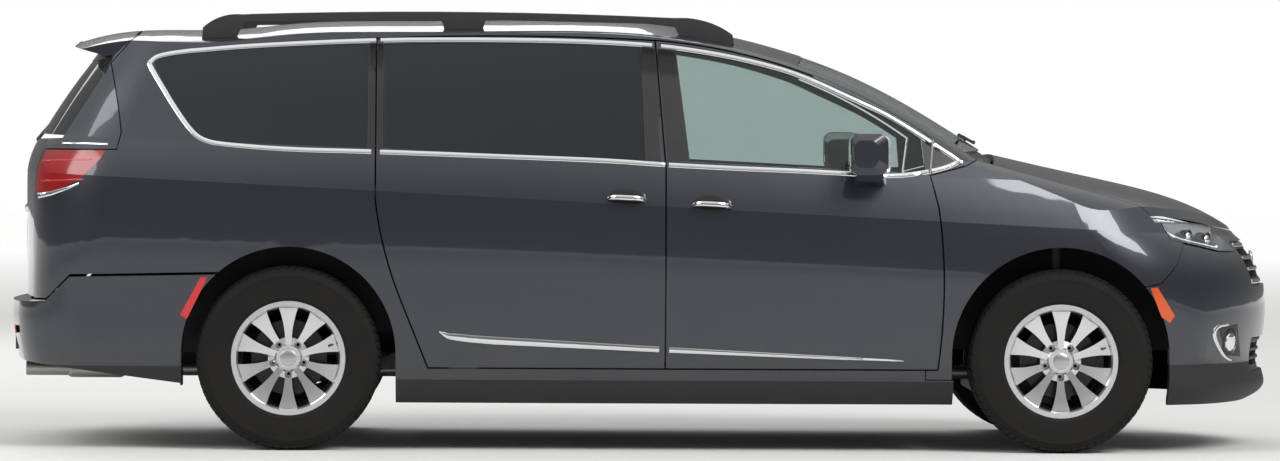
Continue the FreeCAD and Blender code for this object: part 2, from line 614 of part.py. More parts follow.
def front_bumper():
    seam = [(x, z - PANEL_GAP) for x, z in NOSE_SEAM]
    lamp_foot = [(x, z - PANEL_GAP) for x, z in HEADLAMP[2:4]]
    region = side_prism([(seam[0][0], 100.0), *seam, *lamp_foot, (FRONT_TIP + 60, 100.0)])
    half = HEADLAMP_INNER_Y - PANEL_GAP
    middle = box(FRONT_TIP - 330, FRONT_TIP + 60, -half, half, 780, 980)
    block = BODY.common(region.fuse(middle)).cut(plan_prism(hood_steps(PANEL_GAP)))
    pocket = grown(FRONT_MARKER, SEAT_GAP).cut(lower_inside(MARKER_DEPTH, 0.0))
    shell = block.cut([lower_inside(BUMPER_DEPTH, BUMPER_DEPTH), side_prism(FRONT_ARCH), both(pocket),
                       box(0, FRONT_TIP + 90, -GRILLE_HALF, GRILLE_HALF, *GRILLE_Z),
                       box(0, FRONT_TIP + 90, -INTAKE_HALF, INTAKE_HALF, *INTAKE_Z)])
    return shell


def grille():
    """Two grilles of level vanes between upright bars, each a curved plate behind the bumper's face."""
    plates = []
    for half, (z0, z1), pitch, opening in ((GRILLE_HALF, GRILLE_Z, 45.0, 27.0), (INTAKE_HALF, INTAKE_Z, 35.0, 22.0)):
        half, z0, z1 = half - SEAT_GAP, z0 + SEAT_GAP, z1 - SEAT_GAP
        block = nose_block(FRONT_TIP - 500, half, z0, z1).common(lower_inside(GRILLE_FACE, GRILLE_FACE))
        plate = block.cut(lower_inside(GRILLE_FACE + GRILLE_DEPTH, GRILLE_FACE + GRILLE_DEPTH))
        count = int((z1 - z0 - 10) // pitch)
        low = (z0 + z1 - (count - 1) * pitch - opening) / 2
        width = (2 * half - 60) / 4
        slots = []
        for i in range(count):
            for j in range(4):
                y = -half + 12 + j * (width + 12)
                slots.append(box(FRONT_TIP - 500, FRONT_TIP, y, y + width, low + i * pitch, low + i * pitch + opening))
        plates.append(plate.cut(slots))
    return Part.makeCompound(plates)


def headlamp():
    region = grown(HEADLAMP, -GLASS_GAP / 2).common(box(0, 3000, HEADLAMP_INNER_Y, BEYOND, 700, 1100))
    lamp = LEFT.common(region).cut([nose_inside(HEADLAMP_DEPTH, HEADLAMP_DEPTH), plan_prism(hood_steps(PANEL_GAP))])
    return lamp


# Tail

BUMPER = row_lofts(BUMPER_ROWS)


def bumper_inside(depth):
    return row_lofts(BUMPER_ROWS, depth, depth)


def marker(steps, inner):
    """A flush lamp let into the lip of a wheel arch."""
    return grown(steps, 0.0).common(LOWER if inner is None else BUMPER).cut(
        lower_inside(MARKER_DEPTH - SEAT_GAP, 0.0) if inner is None else inner)


def rear_bumper():
    region = side_prism([(REAR_AXLE, 150.0), (REAR_AXLE - 400, 262.0), (REAR_TIP + 342, 318.0),
                         (REAR_TIP - 60, 366.0), (REAR_TIP - 60, 584 - PANEL_GAP), (REAR_TIP + 190, 596 - PANEL_GAP),
                         (REAR_TIP + 290, 694 - PANEL_GAP), (REAR_AXLE - 280, 706 - PANEL_GAP), (REAR_AXLE, 706.0)])
    pocket = grown(REAR_MARKER, SEAT_GAP).cut(bumper_inside(MARKER_DEPTH))
    block = BUMPER.common(region).cut([side_prism(REAR_ARCH), both(pocket)])
    bracket = box(REAR_TIP + 40, REAR_RAIL_X - SEAT_GAP, RAIL_INNER_Y + 10, RAIL_OUTER_Y - 10, 384, 454)
    return fused([block.cut(bumper_inside(BUMPER_DEPTH)), bracket, mirrored(bracket)])


def tail_lamp():
    region = grown(TAIL_LAMP, 0.0).common(box(REAR_TIP - 60, 0, TAIL_LAMP_INNER_Y, BEYOND, 900, 1300))
    return wall(region, 70.0, 70.0, 70.0)


GATE_WINDOW = [(REAR_TIP - 60, 1236.0), (REAR_TIP + 243, 1236.0), (REAR_TIP + 398, 1488.0), (REAR_TIP + 402, 1556.0),
               (REAR_TIP - 60, 1556.0)]
SPOILER = [(GATE_X - 30, 1575.0), (REAR_TIP + 400, 1575.0), (REAR_TIP + 268, 1612.0), (REAR_TIP + 262, 1800.0),
           (GATE_X - 30, 1800.0)]
GATE_HINGE_X = GATE_X
GATE_HINGE_Z = 1675.0
GATE_HINGE_R = 4.4


def gate_region():
    return side_prism(GATE_SIDE).fuse(box(REAR_TIP - 60, REAR_TIP + 300, -GATE_HALF, GATE_HALF, GATE_BOTTOM, 1260.0))


def liftgate():
    region = gate_region().cut(box(GATE_X - GATE_TOP_GAP, GATE_X + 50, -BEYOND, BEYOND, 1000, 2000))
    block = BODY.common(region)
    shell = block.cut([lower_inside(GATE_DEPTH, GATE_DEPTH), upper_inside(GATE_DEPTH, GATE_DEPTH).common(
        cabin_inside(ROOF_DEPTH))])
    spoiler = CABIN_TOP.common(side_prism(SPOILER, -640, 640)).common(region)
    shell = shell.cut(side_prism(GATE_WINDOW))
    hinges = []
    for side in (-1, 1):
        y = side * 180 - 30
        hinges.append(rod_y(GATE_HINGE_R, GATE_HINGE_X, GATE_HINGE_Z, y, y + 29))
        hinges.append(box(GATE_HINGE_X - 30, GATE_HINGE_X, y, y + 29, GATE_HINGE_Z - GATE_HINGE_R, GATE_HINGE_Z - 1))
    return fused([shell, spoiler] + hinges)


def gate_glass():
    region = both(grown(GATE_WINDOW, -SEAT_GAP))
    block = UPPER.common(region).common(upper_inside(GLASS_RECESS, GLASS_RECESS))
    return block.cut(upper_inside(GLASS_RECESS + GLASS_DEPTH, GLASS_RECESS + GLASS_DEPTH))


# Glass

def side_pane(steps):
    region = grown(steps, -SEAT_GAP)
    outer, inner = upper_inside(GLASS_RECESS, 0.0), upper_inside(GLASS_RECESS + GLASS_DEPTH, 0.0)
    return UPPER.common(region).common(outer).cut(inner)


# Mirrors and roof rails

def rounded_loft(sections):
    """A loft across the car of rounded rectangles, each (y, x0, x1, z0, z1, corner radius)."""
    wires = []
    for y, x0, x1, z0, z1, r in sections:
        q = r * (1 - math.sqrt(0.5))
        steps = [(x0 + r, z0), (x1 - r, z0), ((x1 - q, z0 + q), (x1, z0 + r)), (x1, z1 - r),
                 ((x1 - q, z1 - q), (x1 - r, z1)), (x0 + r, z1), ((x0 + q, z1 - q), (x0, z1 - r)), (x0, z0 + r),
                 ((x0 + q, z0 + q), (x0 + r, z0))]
        wires.append(wire_in_plane(steps, lambda p, y=y: Vector(p[0], y, p[1])))
    return Part.makeLoft(wires, True, True)


MIRROR_X = FRONT_AXLE - 777


def mirror():
    """A door mirror on a foot that stands on the door's shoulder, with its glass facing the tail."""
    head = rounded_loft([(HALF_WIDTH - 38, MIRROR_X - 70, MIRROR_X + 72, 1128, 1246, 30),
                         (HALF_WIDTH + 18, MIRROR_X - 84, MIRROR_X + 90, 1112, 1272, 40),
                         (HALF_WIDTH + 110, MIRROR_X - 82, MIRROR_X + 72, 1112, 1276, 40),
                         (HALF_WIDTH + 139, MIRROR_X - 66, MIRROR_X + 30, 1140, 1250, 34)])
    foot = rounded_loft([(HALF_WIDTH - 100, MIRROR_X - 55, MIRROR_X + 75, 1052, 1116, 20),
                         (HALF_WIDTH + 10, MIRROR_X - 50, MIRROR_X + 60, 1086, 1140, 20)])
    body = head.fuse(foot)
    body = body.cut([lower_inside(-SEAT_GAP, 0.0), upper_inside(-SEAT_GAP, 0.0)])
    glass_room = rounded_loft([(HALF_WIDTH - 28, MIRROR_X - 100, MIRROR_X - 76, 1142, 1246, 10),
                               (HALF_WIDTH + 124, MIRROR_X - 100, MIRROR_X - 74, 1142, 1246, 10)])
    return body.cut(glass_room)


RAIL_Y = 622.0


def roof_rail():
    """A raised rail on three feet."""
    top = side_prism([(REAR_AXLE - 370, 1600.0), (REAR_AXLE - 362, 1690.0), ((REAR_AXLE - 300, 1730.0),
                      (REAR_AXLE - 205, 1744.0)), ((MIDDLE - 560, 1755.0), (PILLAR_X + 40, 1738.0)),
                      ((PILLAR_X + 190, 1716.0), (PILLAR_X + 270, 1672.0)), (PILLAR_X + 280, 1600.0)],
                     RAIL_Y - 16, RAIL_Y + 16)
    low = [side_prism([(REAR_AXLE - 250, 1600.0), (REAR_AXLE - 195, 1718.0), (REAR_AXLE + 600, 1727.0),
                       (REAR_AXLE + 640, 1600.0)], RAIL_Y - 20, RAIL_Y + 20),
           side_prism([(REAR_AXLE + 740, 1600.0), (REAR_AXLE + 780, 1727.0), (PILLAR_X + 30, 1713.0),
                       (PILLAR_X + 90, 1600.0)], RAIL_Y - 20, RAIL_Y + 20)]
    return top.cut(low + [moved(CABIN_TOP, dz=SEAT_GAP)])


# Wheels

def ring_about_y(points, x, z):
    """A solid of revolution about an axis across the car. points are (y, radius), or pairs for arcs."""
    wire = wire_in_plane(points, lambda p: Vector(0, p[0], p[1]))
    solid = Part.Face(wire).revolve(Vector(0, 0, 0), Vector(0, 1, 0), 360)
    return moved(solid, dx=x, dz=z)


RIM_R = RIM_DIAMETER / 2
TYRE_FIT = 0.4
BEAD_Y = 100.0
FLANGE_Y = 108.0
FLANGE_RISE = 12.0
HUB_BORE = 36.0
STUB_R = 35.6
SPOKES = 10
FACE_Y = 88.0


def tyre(x, y):
    half, r = TYRE_WIDTH / 2, WHEEL_RADIUS
    bead = RIM_R + TYRE_FIT
    seat, lip = BEAD_Y - TYRE_FIT, RIM_R + FLANGE_RISE + TYRE_FIT
    points = [(-seat, bead), (-seat, lip), (-FLANGE_Y, lip), ((-half, (lip + r) / 2 - 8), (-106.0, r - 26)),
              ((-98.0, r - 10), (-82.0, r - 3)), ((0.0, r), (82.0, r - 3)), ((98.0, r - 10), (106.0, r - 26)),
              ((half, (lip + r) / 2 - 8), (FLANGE_Y, lip)), (seat, lip), (seat, bead),
              (90.0, bead), (86.0, bead + 16), (-86.0, bead + 16), (-90.0, bead)]
    return moved(ring_about_y(points, x, WHEEL_RADIUS), dy=y)


def rim(x, side):
    """A cast rim: barrel, ten flared spokes, lug pockets and, behind it, the brake disc that turns with it."""
    top = RIM_R + FLANGE_RISE
    barrel = [(-BEAD_Y, RIM_R), (-BEAD_Y, top), (-FLANGE_Y, top), (-FLANGE_Y, RIM_R - 12),
              (-70.0, RIM_R - 30), (60.0, RIM_R - 22), (98.0, RIM_R - 14), (FLANGE_Y, RIM_R - 8), (FLANGE_Y, top),
              (BEAD_Y, top), (BEAD_Y, RIM_R)]
    parts = [ring_about_y(barrel, 0, 0)]
    hub = [(20.0, HUB_BORE), (20.0, 82.0), (FACE_Y - 16, 82.0), (FACE_Y - 8, 56.0), (FACE_Y, 48.0), (FACE_Y, 0.0),
           (58.0, 0.0), (58.0, HUB_BORE)]
    parts.append(ring_about_y(hub, 0, 0))
    inner, outer = 46.0, RIM_R - 16
    spoke = Part.makeLoft([
        wire_in_plane([(-10.0, 40.0), (10.0, 40.0), (13.0, FACE_Y - 9), (-13.0, FACE_Y - 9)],
                      lambda p: Vector(p[0], p[1], inner)),
        wire_in_plane([(-14.0, 52.0), (14.0, 52.0), (18.0, FACE_Y + 2), (-18.0, FACE_Y + 2)],
                      lambda p: Vector(p[0], p[1], (inner + outer) / 2)),
        wire_in_plane([(-36.0, 66.0), (36.0, 66.0), (38.0, FACE_Y + 8), (-38.0, FACE_Y + 8)],
                      lambda p: Vector(p[0], p[1], outer))], True, False)
    for i in range(SPOKES):
        turned = spoke.copy()
        turned.rotate(Vector(0, 0, 0), Vector(0, 1, 0), 360.0 / SPOKES * i)
        parts.append(turned)
    wheel = fused(parts)
    lugs = []
    for i in range(LUGS):
        a = 2 * math.pi * i / LUGS + math.pi / LUGS
        lugs.append(rod_y(LUG_HOLE_R, LUG_CIRCLE_R * math.sin(a), LUG_CIRCLE_R * math.cos(a), -10, 100))
        pocket = rod_y(15.0, LUG_CIRCLE_R * math.sin(a), LUG_CIRCLE_R * math.cos(a), 46, 130)
        lugs.append(pocket)
    disc = ring_about_y([(DISC_Y, 70.0), (DISC_Y, DISC_R), (DISC_Y - 26, DISC_R), (DISC_Y - 26, 70.0)], 0, 0)
    bell = ring_about_y([(20.0, HUB_BORE), (20.0, 76.0), (DISC_Y - 26, 76.0), (DISC_Y - 26, 68.0), (12.0, 68.0),
                         (12.0, HUB_BORE)], 0, 0)
    wheel = fused([wheel, disc, bell]).cut(lugs)
    if side < 0:
        wheel = mirrored(wheel)
    return moved(wheel, dx=x, dy=side * WHEEL_Y, dz=WHEEL_RADIUS)


LUGS = 5
LUG_CIRCLE_R = 63.5
LUG_HOLE_R = 7.0
DISC_Y = -2.0
DISC_R = 151.0


# Chassis

KING_PIN_LOW = (775.0, 205.0)
KING_PIN_HIGH = (640.0, 950.0)
STRUT_R = 24.0
ROD_R = 10.0
LINER_R = 478.0
LINER_T = 6.0
LINER_INNER_Y = 532.0
REAR_LINER_INNER_Y = 690.0
REAR_LINER_R = 434.0
RAIL_INNER_Y, RAIL_OUTER_Y = 436.0, 526.0
FLOOR_Z, FLOOR_T = 350.0, 14.0
REAR_FLOOR_Z = 462.0
STEP_X = REAR_AXLE + 500
REAR_RAIL_X = REAR_TIP + 145
DASH_X = FRONT_AXLE - 513
ENGINE_X = FRONT_AXLE - 190
BEAM_X, BEAM_TOP = REAR_AXLE + 160, 340.0
PIPE_R = 28.0
PIPE_Y, PIPE_Z = -120.0, 290.0


def king_pin_point(t):
    y0, z0 = KING_PIN_LOW
    y1, z1 = KING_PIN_HIGH
    return Vector(FRONT_AXLE, y0 + (y1 - y0) * t, z0 + (z1 - z0) * t)


def king_pin_rod(radius, t0, t1):
    start, end = king_pin_point(t0), king_pin_point(t1)
    return Part.makeCylinder(radius, start.distanceToPoint(end), start, end - start)


def liner(axle, radius, inner_y, floor):
    """A wheel house: an arched skin over the wheel and, down to the floor height, a plate on its inner side."""
    outer = side_prism(arch_steps(axle, radius + LINER_T, 250.0), inner_y - LINER_T, 930)
    outer = outer.cut(side_prism(arch_steps(axle, radius, 200.0), inner_y, BEYOND))
    return outer.cut(box(axle - radius, axle + radius, inner_y - LINER_T - 1, inner_y, 0, floor))


def underbody():
    """Floor, rails, wheel houses, bulkhead and cowl shelf: what carries the rest."""
    half = []
    half.append(box(STEP_X, DASH_X + 12, 0, 900, FLOOR_Z, FLOOR_Z + FLOOR_T))
    half.append(box(STEP_X - FLOOR_T, STEP_X, 0, 900, FLOOR_Z, REAR_FLOOR_Z + FLOOR_T))
    half.append(box(REAR_TIP + 80, STEP_X, 0, 900, REAR_FLOOR_Z, REAR_FLOOR_Z + FLOOR_T))
    half.append(box(DASH_X, DASH_X + 12, 0, 900, FLOOR_Z, 1092))
    half.append(box(DASH_X, HOOD_HINGE_X + 15, 0, 862, 1030, 1044))
    half.append(box(DASH_X, FRONT_TIP - 170, RAIL_INNER_Y, RAIL_OUTER_Y, 400, 500))
    half.append(side_prism([(STEP_X - 60, FLOOR_Z + 2), (STEP_X - 60, 262), (DASH_X - 60, 262), (DASH_X + 60, 402),
                            (DASH_X + 60, 500), (DASH_X, 500), (DASH_X, FLOOR_Z + 2)], RAIL_INNER_Y, RAIL_OUTER_Y))
    half.append(box(REAR_RAIL_X, STEP_X, RAIL_INNER_Y, RAIL_OUTER_Y, 376, REAR_FLOOR_Z + 2))
    half.append(box(FRONT_TIP - 210, FRONT_TIP - 170, 0, 600, 420, 500))
    half.append(box(FRONT_TIP - 290, FRONT_TIP - 250, RAIL_INNER_Y, RAIL_INNER_Y + 60, 495, 800))
    half.append(box(FRONT_TIP - 290, FRONT_TIP - 250, 0, RAIL_INNER_Y + 60, 770, 830))
    front = liner(FRONT_AXLE, LINER_R, LINER_INNER_Y, 420.0)
    tower = Part.makeCylinder(86, 150, king_pin_point(1.0) + Vector(0, 0, -134), Vector(0, 0, 1))
    room = Part.makeCylinder(78, 140, king_pin_point(1.0) + Vector(0, 0, -136), Vector(0, 0, 1))
    front = front.fuse(tower).cut([room, king_pin_rod(ROD_R + SEAT_GAP, 0.9, 1.1)])
    rear = liner(REAR_AXLE, REAR_LINER_R, REAR_LINER_INNER_Y, REAR_FLOOR_Z)
    rear_room = side_prism(arch_steps(REAR_AXLE, REAR_LINER_R + 1, 100), REAR_LINER_INNER_Y - 1, BEYOND)
    left = fused(half).cut(rear_room)
    left = fused([left, front, rear])
    left = left.common(lower_inside(SILL_DEPTH + SEAT_GAP, 78.0).fuse(
        box(DASH_X + 80, FRONT_TIP, 0, 1000, 300, 1400).common(lower_inside(FENDER_DEPTH + SEAT_GAP, BUMPER_DEPTH + SEAT_GAP))))
    bracket = fused([rod_y(HOOD_HINGE_R, HOOD_HINGE_X, HOOD_HINGE_Z, HOOD_HINGE_Y + 12.5, HOOD_HINGE_Y + 37),
                     box(HOOD_HINGE_X - HOOD_HINGE_R, HOOD_HINGE_X + HOOD_HINGE_R, HOOD_HINGE_Y + 12.5,
                         HOOD_HINGE_Y + 37, 1040, HOOD_HINGE_Z)])
    left = fused([left, bracket])
    return fused([left, mirrored(left)])


def cowl():
    """The scuttle under the foot of the windscreen."""
    half = COWL_HALF - SEAT_GAP
    region = plan_prism([(FRONT_AXLE - 380, -half), (FRONT_AXLE - 300, 0), (FRONT_AXLE - 380, half),
                         (FRONT_AXLE - 280, half), ((HOOD_REAR[0] - PANEL_GAP, 0), (FRONT_AXLE - 280, -half))])
    block = region.common(BODY).common(cabin_inside(GLASS_RECESS + GLASS_DEPTH + 6))
    return block.cut(cabin_inside(GLASS_RECESS + GLASS_DEPTH + 36))


def knuckle():
    """Upright with its ball joint, stub axle, steering arm, brake caliper and the damper that turns with it."""
    z = WHEEL_RADIUS
    y = WHEEL_Y
    parts = [
        king_pin_rod(18, -0.02, 0.36),
        king_pin_rod(STRUT_R, 0.34, 0.88),
        king_pin_rod(ROD_R, 0.86, 1.015),
        rod_y(STUB_R, FRONT_AXLE, z, y - 120, y + 50),
        rod_y(52, FRONT_AXLE, z, y - 130, y - 62),
        box(FRONT_AXLE - 120, FRONT_AXLE, y - 112, y - 92, z - 60, z - 30),
    ]
    caliper = ring_about_y([(-52.0, 96.0), (-52.0, 160.0), (20.0, 160.0), (20.0, 152.0), (-1.0, 152.0),
                            (-1.0, 152.5), (-29.0, 152.5), (-29.0, 96.0)], 0, 0)
    wedge = side_prism([(-30, 0), (-200, 90), (-200, -90)], -80, 60)
    caliper = moved(caliper.common(wedge), dx=FRONT_AXLE, dy=y, dz=z)
    link = box(FRONT_AXLE - 110, FRONT_AXLE, y - 52, y - 44, z - 22, z + 22).fuse(
        box(FRONT_AXLE - 70, FRONT_AXLE - 10, y - 80, y - 44, z - 22, z + 22))
    return fused(parts + [caliper, link])


def front_suspension():
    """Subframe with a control arm and a top mount on each side."""
    low = king_pin_point(0.0)
    arm = plan_prism([(FRONT_AXLE - 28, low.y - 20), (FRONT_AXLE + 20, low.y - 20), (FRONT_AXLE + 40, 440),
                      (FRONT_AXLE + 90, 380), (FRONT_AXLE - 210, 380), (FRONT_AXLE - 180, 450)], 190, 214)
    ball = rod_z(26, FRONT_AXLE, low.y, 186, 214)
    seat = king_pin_rod(18 + 0.4, -0.1, 0.2)
    arm = arm.fuse(ball).cut(seat)
    frame = fused([box(FRONT_AXLE - 300, FRONT_AXLE - 200, -480, 480, 214, 300),
                   box(FRONT_AXLE + 60, FRONT_AXLE + 140, -480, 480, 214, 300),
                   box(FRONT_AXLE - 210, FRONT_AXLE + 70, 400, 480, 214, 300),
                   box(FRONT_AXLE - 210, FRONT_AXLE + 70, -480, -400, 214, 300),
                   box(FRONT_AXLE - 290, FRONT_AXLE - 210, 440, 480, 300, 399.7),
                   box(FRONT_AXLE - 290, FRONT_AXLE - 210, -480, -440, 300, 399.7),
                   box(FRONT_AXLE + 70, FRONT_AXLE + 130, 440, 480, 300, 399.7),
                   box(FRONT_AXLE + 70, FRONT_AXLE + 130, -480, -440, 300, 399.7)])
    tunnel = rod_along_x(PIPE_R + 4, FRONT_AXLE - 400, FRONT_AXLE + 400, PIPE_Y, PIPE_Z)
    return fused([frame.cut(tunnel), arm, mirrored(arm)])


def rear_axle():
    """A twist beam on trailing arms, with springs, dampers and stub axles."""
    z, y = WHEEL_RADIUS, WHEEL_Y
    beam = box(BEAM_X - 40, BEAM_X + 40, -600, 600, 270, BEAM_TOP)
    half = [
        side_prism([(REAR_AXLE + 430, 330), (REAR_AXLE + 430, 370), (REAR_AXLE + 60, 330), (REAR_AXLE - 40, 410),
                    (REAR_AXLE - 60, 330), (REAR_AXLE + 40, 260), (REAR_AXLE + 200, 262)], 560, 640),
        rod_y(32, REAR_AXLE + 420, 349, 535, 665),
        rod_y(STUB_R, REAR_AXLE, z, y - 240, y + 50),
        rod_y(60, REAR_AXLE, z, y - 140, y - 62),
        rod_z(54, REAR_AXLE + 60, 480, 270, 375.7),
        box(REAR_AXLE + 30, REAR_AXLE + 150, 415, 590, 266, 300),
    ]
    arm = fused(half)
    return fused([beam, arm, mirrored(arm)])


def engine():
    return box(ENGINE_X, FRONT_AXLE + 330, -400, 330, 300.3, 880).cut(
        box(FRONT_AXLE + 140, FRONT_AXLE + 400, -500, 400, 760, 900))


def exhaust():
    """One pipe from the engine, over the twist beam, to a cross silencer hung from the rear rails."""
    front = rod_along_x(PIPE_R, BEAM_X + 110, ENGINE_X - SEAT_GAP, PIPE_Y, PIPE_Z)
    rear = rod_along_x(PIPE_R, REAR_TIP + 470, BEAM_X - 110, PIPE_Y, PIPE_Z)
    over = [(BEAM_X - 126, PIPE_Z - PIPE_R), (BEAM_X - 76, PIPE_Z - PIPE_R), (BEAM_X - 60, BEAM_TOP + 10),
            (BEAM_X + 60, BEAM_TOP + 10), (BEAM_X + 76, PIPE_Z - PIPE_R), (BEAM_X + 126, PIPE_Z - PIPE_R),
            (BEAM_X + 100, BEAM_TOP + 60), (BEAM_X - 100, BEAM_TOP + 60)]
    bend = side_prism(over, PIPE_Y - PIPE_R, PIPE_Y + PIPE_R)
    silencer = cushion(REAR_TIP + 230, REAR_TIP + 480, -360, 360, 262, 366, 30)
    tip = rod_along_x(30, REAR_TIP + 70, REAR_TIP + 260, -330, 300)
    hangers = [box(REAR_TIP + 340, REAR_TIP + 370, y, y + 130, 340, 376 - SEAT_GAP) for y in (-456, 326)]
    return fused([front, rear, bend, silencer, tip] + hangers)


def rod_along_x(radius, x0, x1, y, z):
    return Part.makeCylinder(radius, x1 - x0, Vector(x0, y, z), Vector(1, 0, 0))


def fuel_tank():
    return box(STEP_X + 60, STEP_X + 900, 20, 420, 215, FLOOR_Z - 0.3)


# Cabin

STEER_X = FRONT_AXLE - 850
STEER_Z = 950.0
STEER_Y = 390.0
STEER_TILT = 26.0
STEER_R = 190.0
COLUMN_R = 22.0
SHAFT_LENGTH = 90.0


def steering_wheel():
    """A rim, three spokes and a boss on a short shaft, turned about the column."""
    rim_ring = Part.makeTorus(STEER_R, 15)
    boss = Part.makeCylinder(62, 40, Vector(0, 0, -10))
    shaft = Part.makeCylinder(COLUMN_R, SHAFT_LENGTH, Vector(0, 0, -SHAFT_LENGTH))
    spokes = []
    for angle in (0, 180, 270):
        arm = box(40, STEER_R - 4, -16, 16, -8, 8)
        arm.rotate(Vector(0, 0, 0), Vector(0, 0, 1), angle)
        spokes.append(arm)
    wheel = fused([rim_ring, boss, shaft] + spokes)
    wheel.rotate(Vector(0, 0, 0), Vector(0, 0, 1), 90)
    wheel.rotate(Vector(0, 0, 0), Vector(0, 1, 0), -(90 - STEER_TILT))
    return moved(wheel, STEER_X, STEER_Y, STEER_Z)


def dashboard():
    profile = [(DASH_X - 0.3, 500.0), (DASH_X - 0.3, 1040.0), ((DASH_X - 90, 1062.0), (DASH_X - 190, 1030.0)),
               ((DASH_X - 232, 980.0), (DASH_X - 225, 880.0)), (DASH_X - 190, 640.0), (DASH_X - 120, 500.0)]
    block = side_prism(profile, -760, 760).common(lower_inside(SILL_DEPTH + 1, 0.0).fuse(
        upper_inside(SILL_DEPTH + 1, 0.0)))
    console = side_prism([(DASH_X - 820, FLOOR_Z + FLOOR_T + 0.3), (DASH_X - 820, 600), (DASH_X - 300, 720),
                          (DASH_X - 200, 860), (DASH_X - 120, 860), (DASH_X - 120, FLOOR_Z + FLOOR_T + 0.3)], -130, 130)
    column = Part.makeCylinder(COLUMN_R + 22, 330, Vector(0, 0, -SHAFT_LENGTH - SEAT_GAP - 330))
    column.rotate(Vector(0, 0, 0), Vector(0, 1, 0), -(90 - STEER_TILT))
    column = moved(column, STEER_X, STEER_Y, STEER_Z)
    return fused([block, console, column.common(box(0, DASH_X - 10, 0, 900, 500, 1400))])


def cushion(x0, x1, y0, y1, z0, z1, r):
    solid = box(x0, x1, y0, y1, z0, z1)
    return solid.makeFillet(r, solid.Edges)


def seat(x, y, width, floor, back_rise=640.0, rests=1):
    """A seat facing forward: x is the front of its cushion. Base, cushion, back and head rests."""
    w = width / 2
    base = box(x - 470, x - 60, y - w + 60, y + w - 60, floor + 0.3, floor + 200)
    pad = cushion(x - 540, x, y - w, y + w, floor + 190, floor + 330, 40)
    back = cushion(-70, 70, y - w + 10, y + w - 10, 0, back_rise, 45)
    tops = []
    for i in range(rests):
        cy = y + (i - (rests - 1) / 2) * (width / rests)
        tops.append(cushion(-50, 50, cy - 125, cy + 125, back_rise + 25, back_rise + 200, 38))
        for side in (-60, 60):
            tops.append(rod_z(8, 0, cy + side, back_rise - 60, back_rise + 60))
    back = fused([back] + tops)
    back.rotate(Vector(0, 0, 0), Vector(0, 1, 0), -18)
    return fused([base, pad, moved(back, x - 500, 0, floor + 240)])


def front_seats():
    return both(seat(FRONT_AXLE - 870, STEER_Y, 520, FLOOR_Z + FLOOR_T))


def second_row():
    return both(seat(FRONT_AXLE - 1780, STEER_Y, 520, FLOOR_Z + FLOOR_T))


def third_row():
    return seat(REAR_AXLE + 330, 0, 1160, REAR_FLOOR_Z + FLOOR_T, 560.0, 3)


NODES = {
    "underbody": underbody,
    "front_bumper": front_bumper,
    "grille": grille,
    "front_fenders": lambda: both(fender()),
    "roof": roof,
    "windscreen": windscreen,
    "cowl": cowl,
    "hood": hood,
    "side_glass": lambda: both(Part.makeCompound([side_pane(SLIDE_WINDOW), side_pane(QUARTER_WINDOW)])),
    "rear_bumper": rear_bumper,
    "liftgate": liftgate,
    "liftgate_glass": gate_glass,
    "headlamps": lambda: both(headlamp()),
    "tail_lamps": lambda: both(tail_lamp()),
    "side_markers": lambda: both(Part.makeCompound([
        marker(FRONT_MARKER, None), marker(REAR_MARKER, bumper_inside(MARKER_DEPTH - SEAT_GAP))])),
    "roof_rails": lambda: both(roof_rail()),
    "front_suspension": front_suspension,
    "rear_axle": rear_axle,
    "engine": engine,
    "exhaust": exhaust,
    "fuel_tank": fuel_tank,
    "dashboard": dashboard,
    "steering_wheel": steering_wheel,
    "front_seats": front_seats,
    "second_row_seats": second_row,
    "third_row_seat": third_row,
}
PAIRS = {
    "body_side": body_side,
    "sliding_door": slide_door,
    "front_door": front_door,
    "front_door_glass": lambda: side_pane(FRONT_WINDOW),
    "mirror": mirror,
    "knuckle": knuckle,
}
CORNERS = {"front_left": (FRONT_AXLE, 1), "front_right": (FRONT_AXLE, -1),
           "rear_left": (REAR_AXLE, 1), "rear_right": (REAR_AXLE, -1)}


def main():
    os.makedirs("parts", exist_ok=True)
    for name, make in NODES.items():
        export(name, make())
    for name, make in PAIRS.items():
        left = make()
        export(name + "_left", left)
        export(name + "_right", mirrored(left))
    for place, (x, side) in CORNERS.items():
        export("tyre_" + place, tyre(x, side * WHEEL_Y))
        export("wheel_" + place, rim(x, side))


if __name__ == "__main__":
    main()
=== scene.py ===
"""A seven-seat minivan: the finishes of its solids and the fine pieces that are laid on them."""

import logging
import math
from dataclasses import dataclass
from enum import Enum
from typing import Sequence

import bmesh
import bpy
from mathutils import Matrix, Vector
from mathutils.bvhtree import BVHTree


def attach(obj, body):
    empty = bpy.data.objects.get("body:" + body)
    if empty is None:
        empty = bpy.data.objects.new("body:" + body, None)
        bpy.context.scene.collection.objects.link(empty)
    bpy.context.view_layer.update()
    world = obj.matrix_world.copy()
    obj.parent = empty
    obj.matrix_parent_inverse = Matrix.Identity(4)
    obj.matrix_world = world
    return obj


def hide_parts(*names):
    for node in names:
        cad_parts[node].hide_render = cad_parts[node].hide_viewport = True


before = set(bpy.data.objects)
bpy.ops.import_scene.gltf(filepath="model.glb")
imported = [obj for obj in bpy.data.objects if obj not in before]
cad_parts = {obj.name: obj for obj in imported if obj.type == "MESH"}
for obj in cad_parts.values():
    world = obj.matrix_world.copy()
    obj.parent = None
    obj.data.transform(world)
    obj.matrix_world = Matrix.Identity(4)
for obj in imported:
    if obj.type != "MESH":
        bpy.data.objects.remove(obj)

LOG = logging.getLogger("minivan")

Hit = tuple[Vector, Vector]
Point = tuple[float, float]
Triple = tuple[float, float, float]
Socket = bpy.types.NodeSocket
Node = bpy.types.Node
Piece = bpy.types.Object

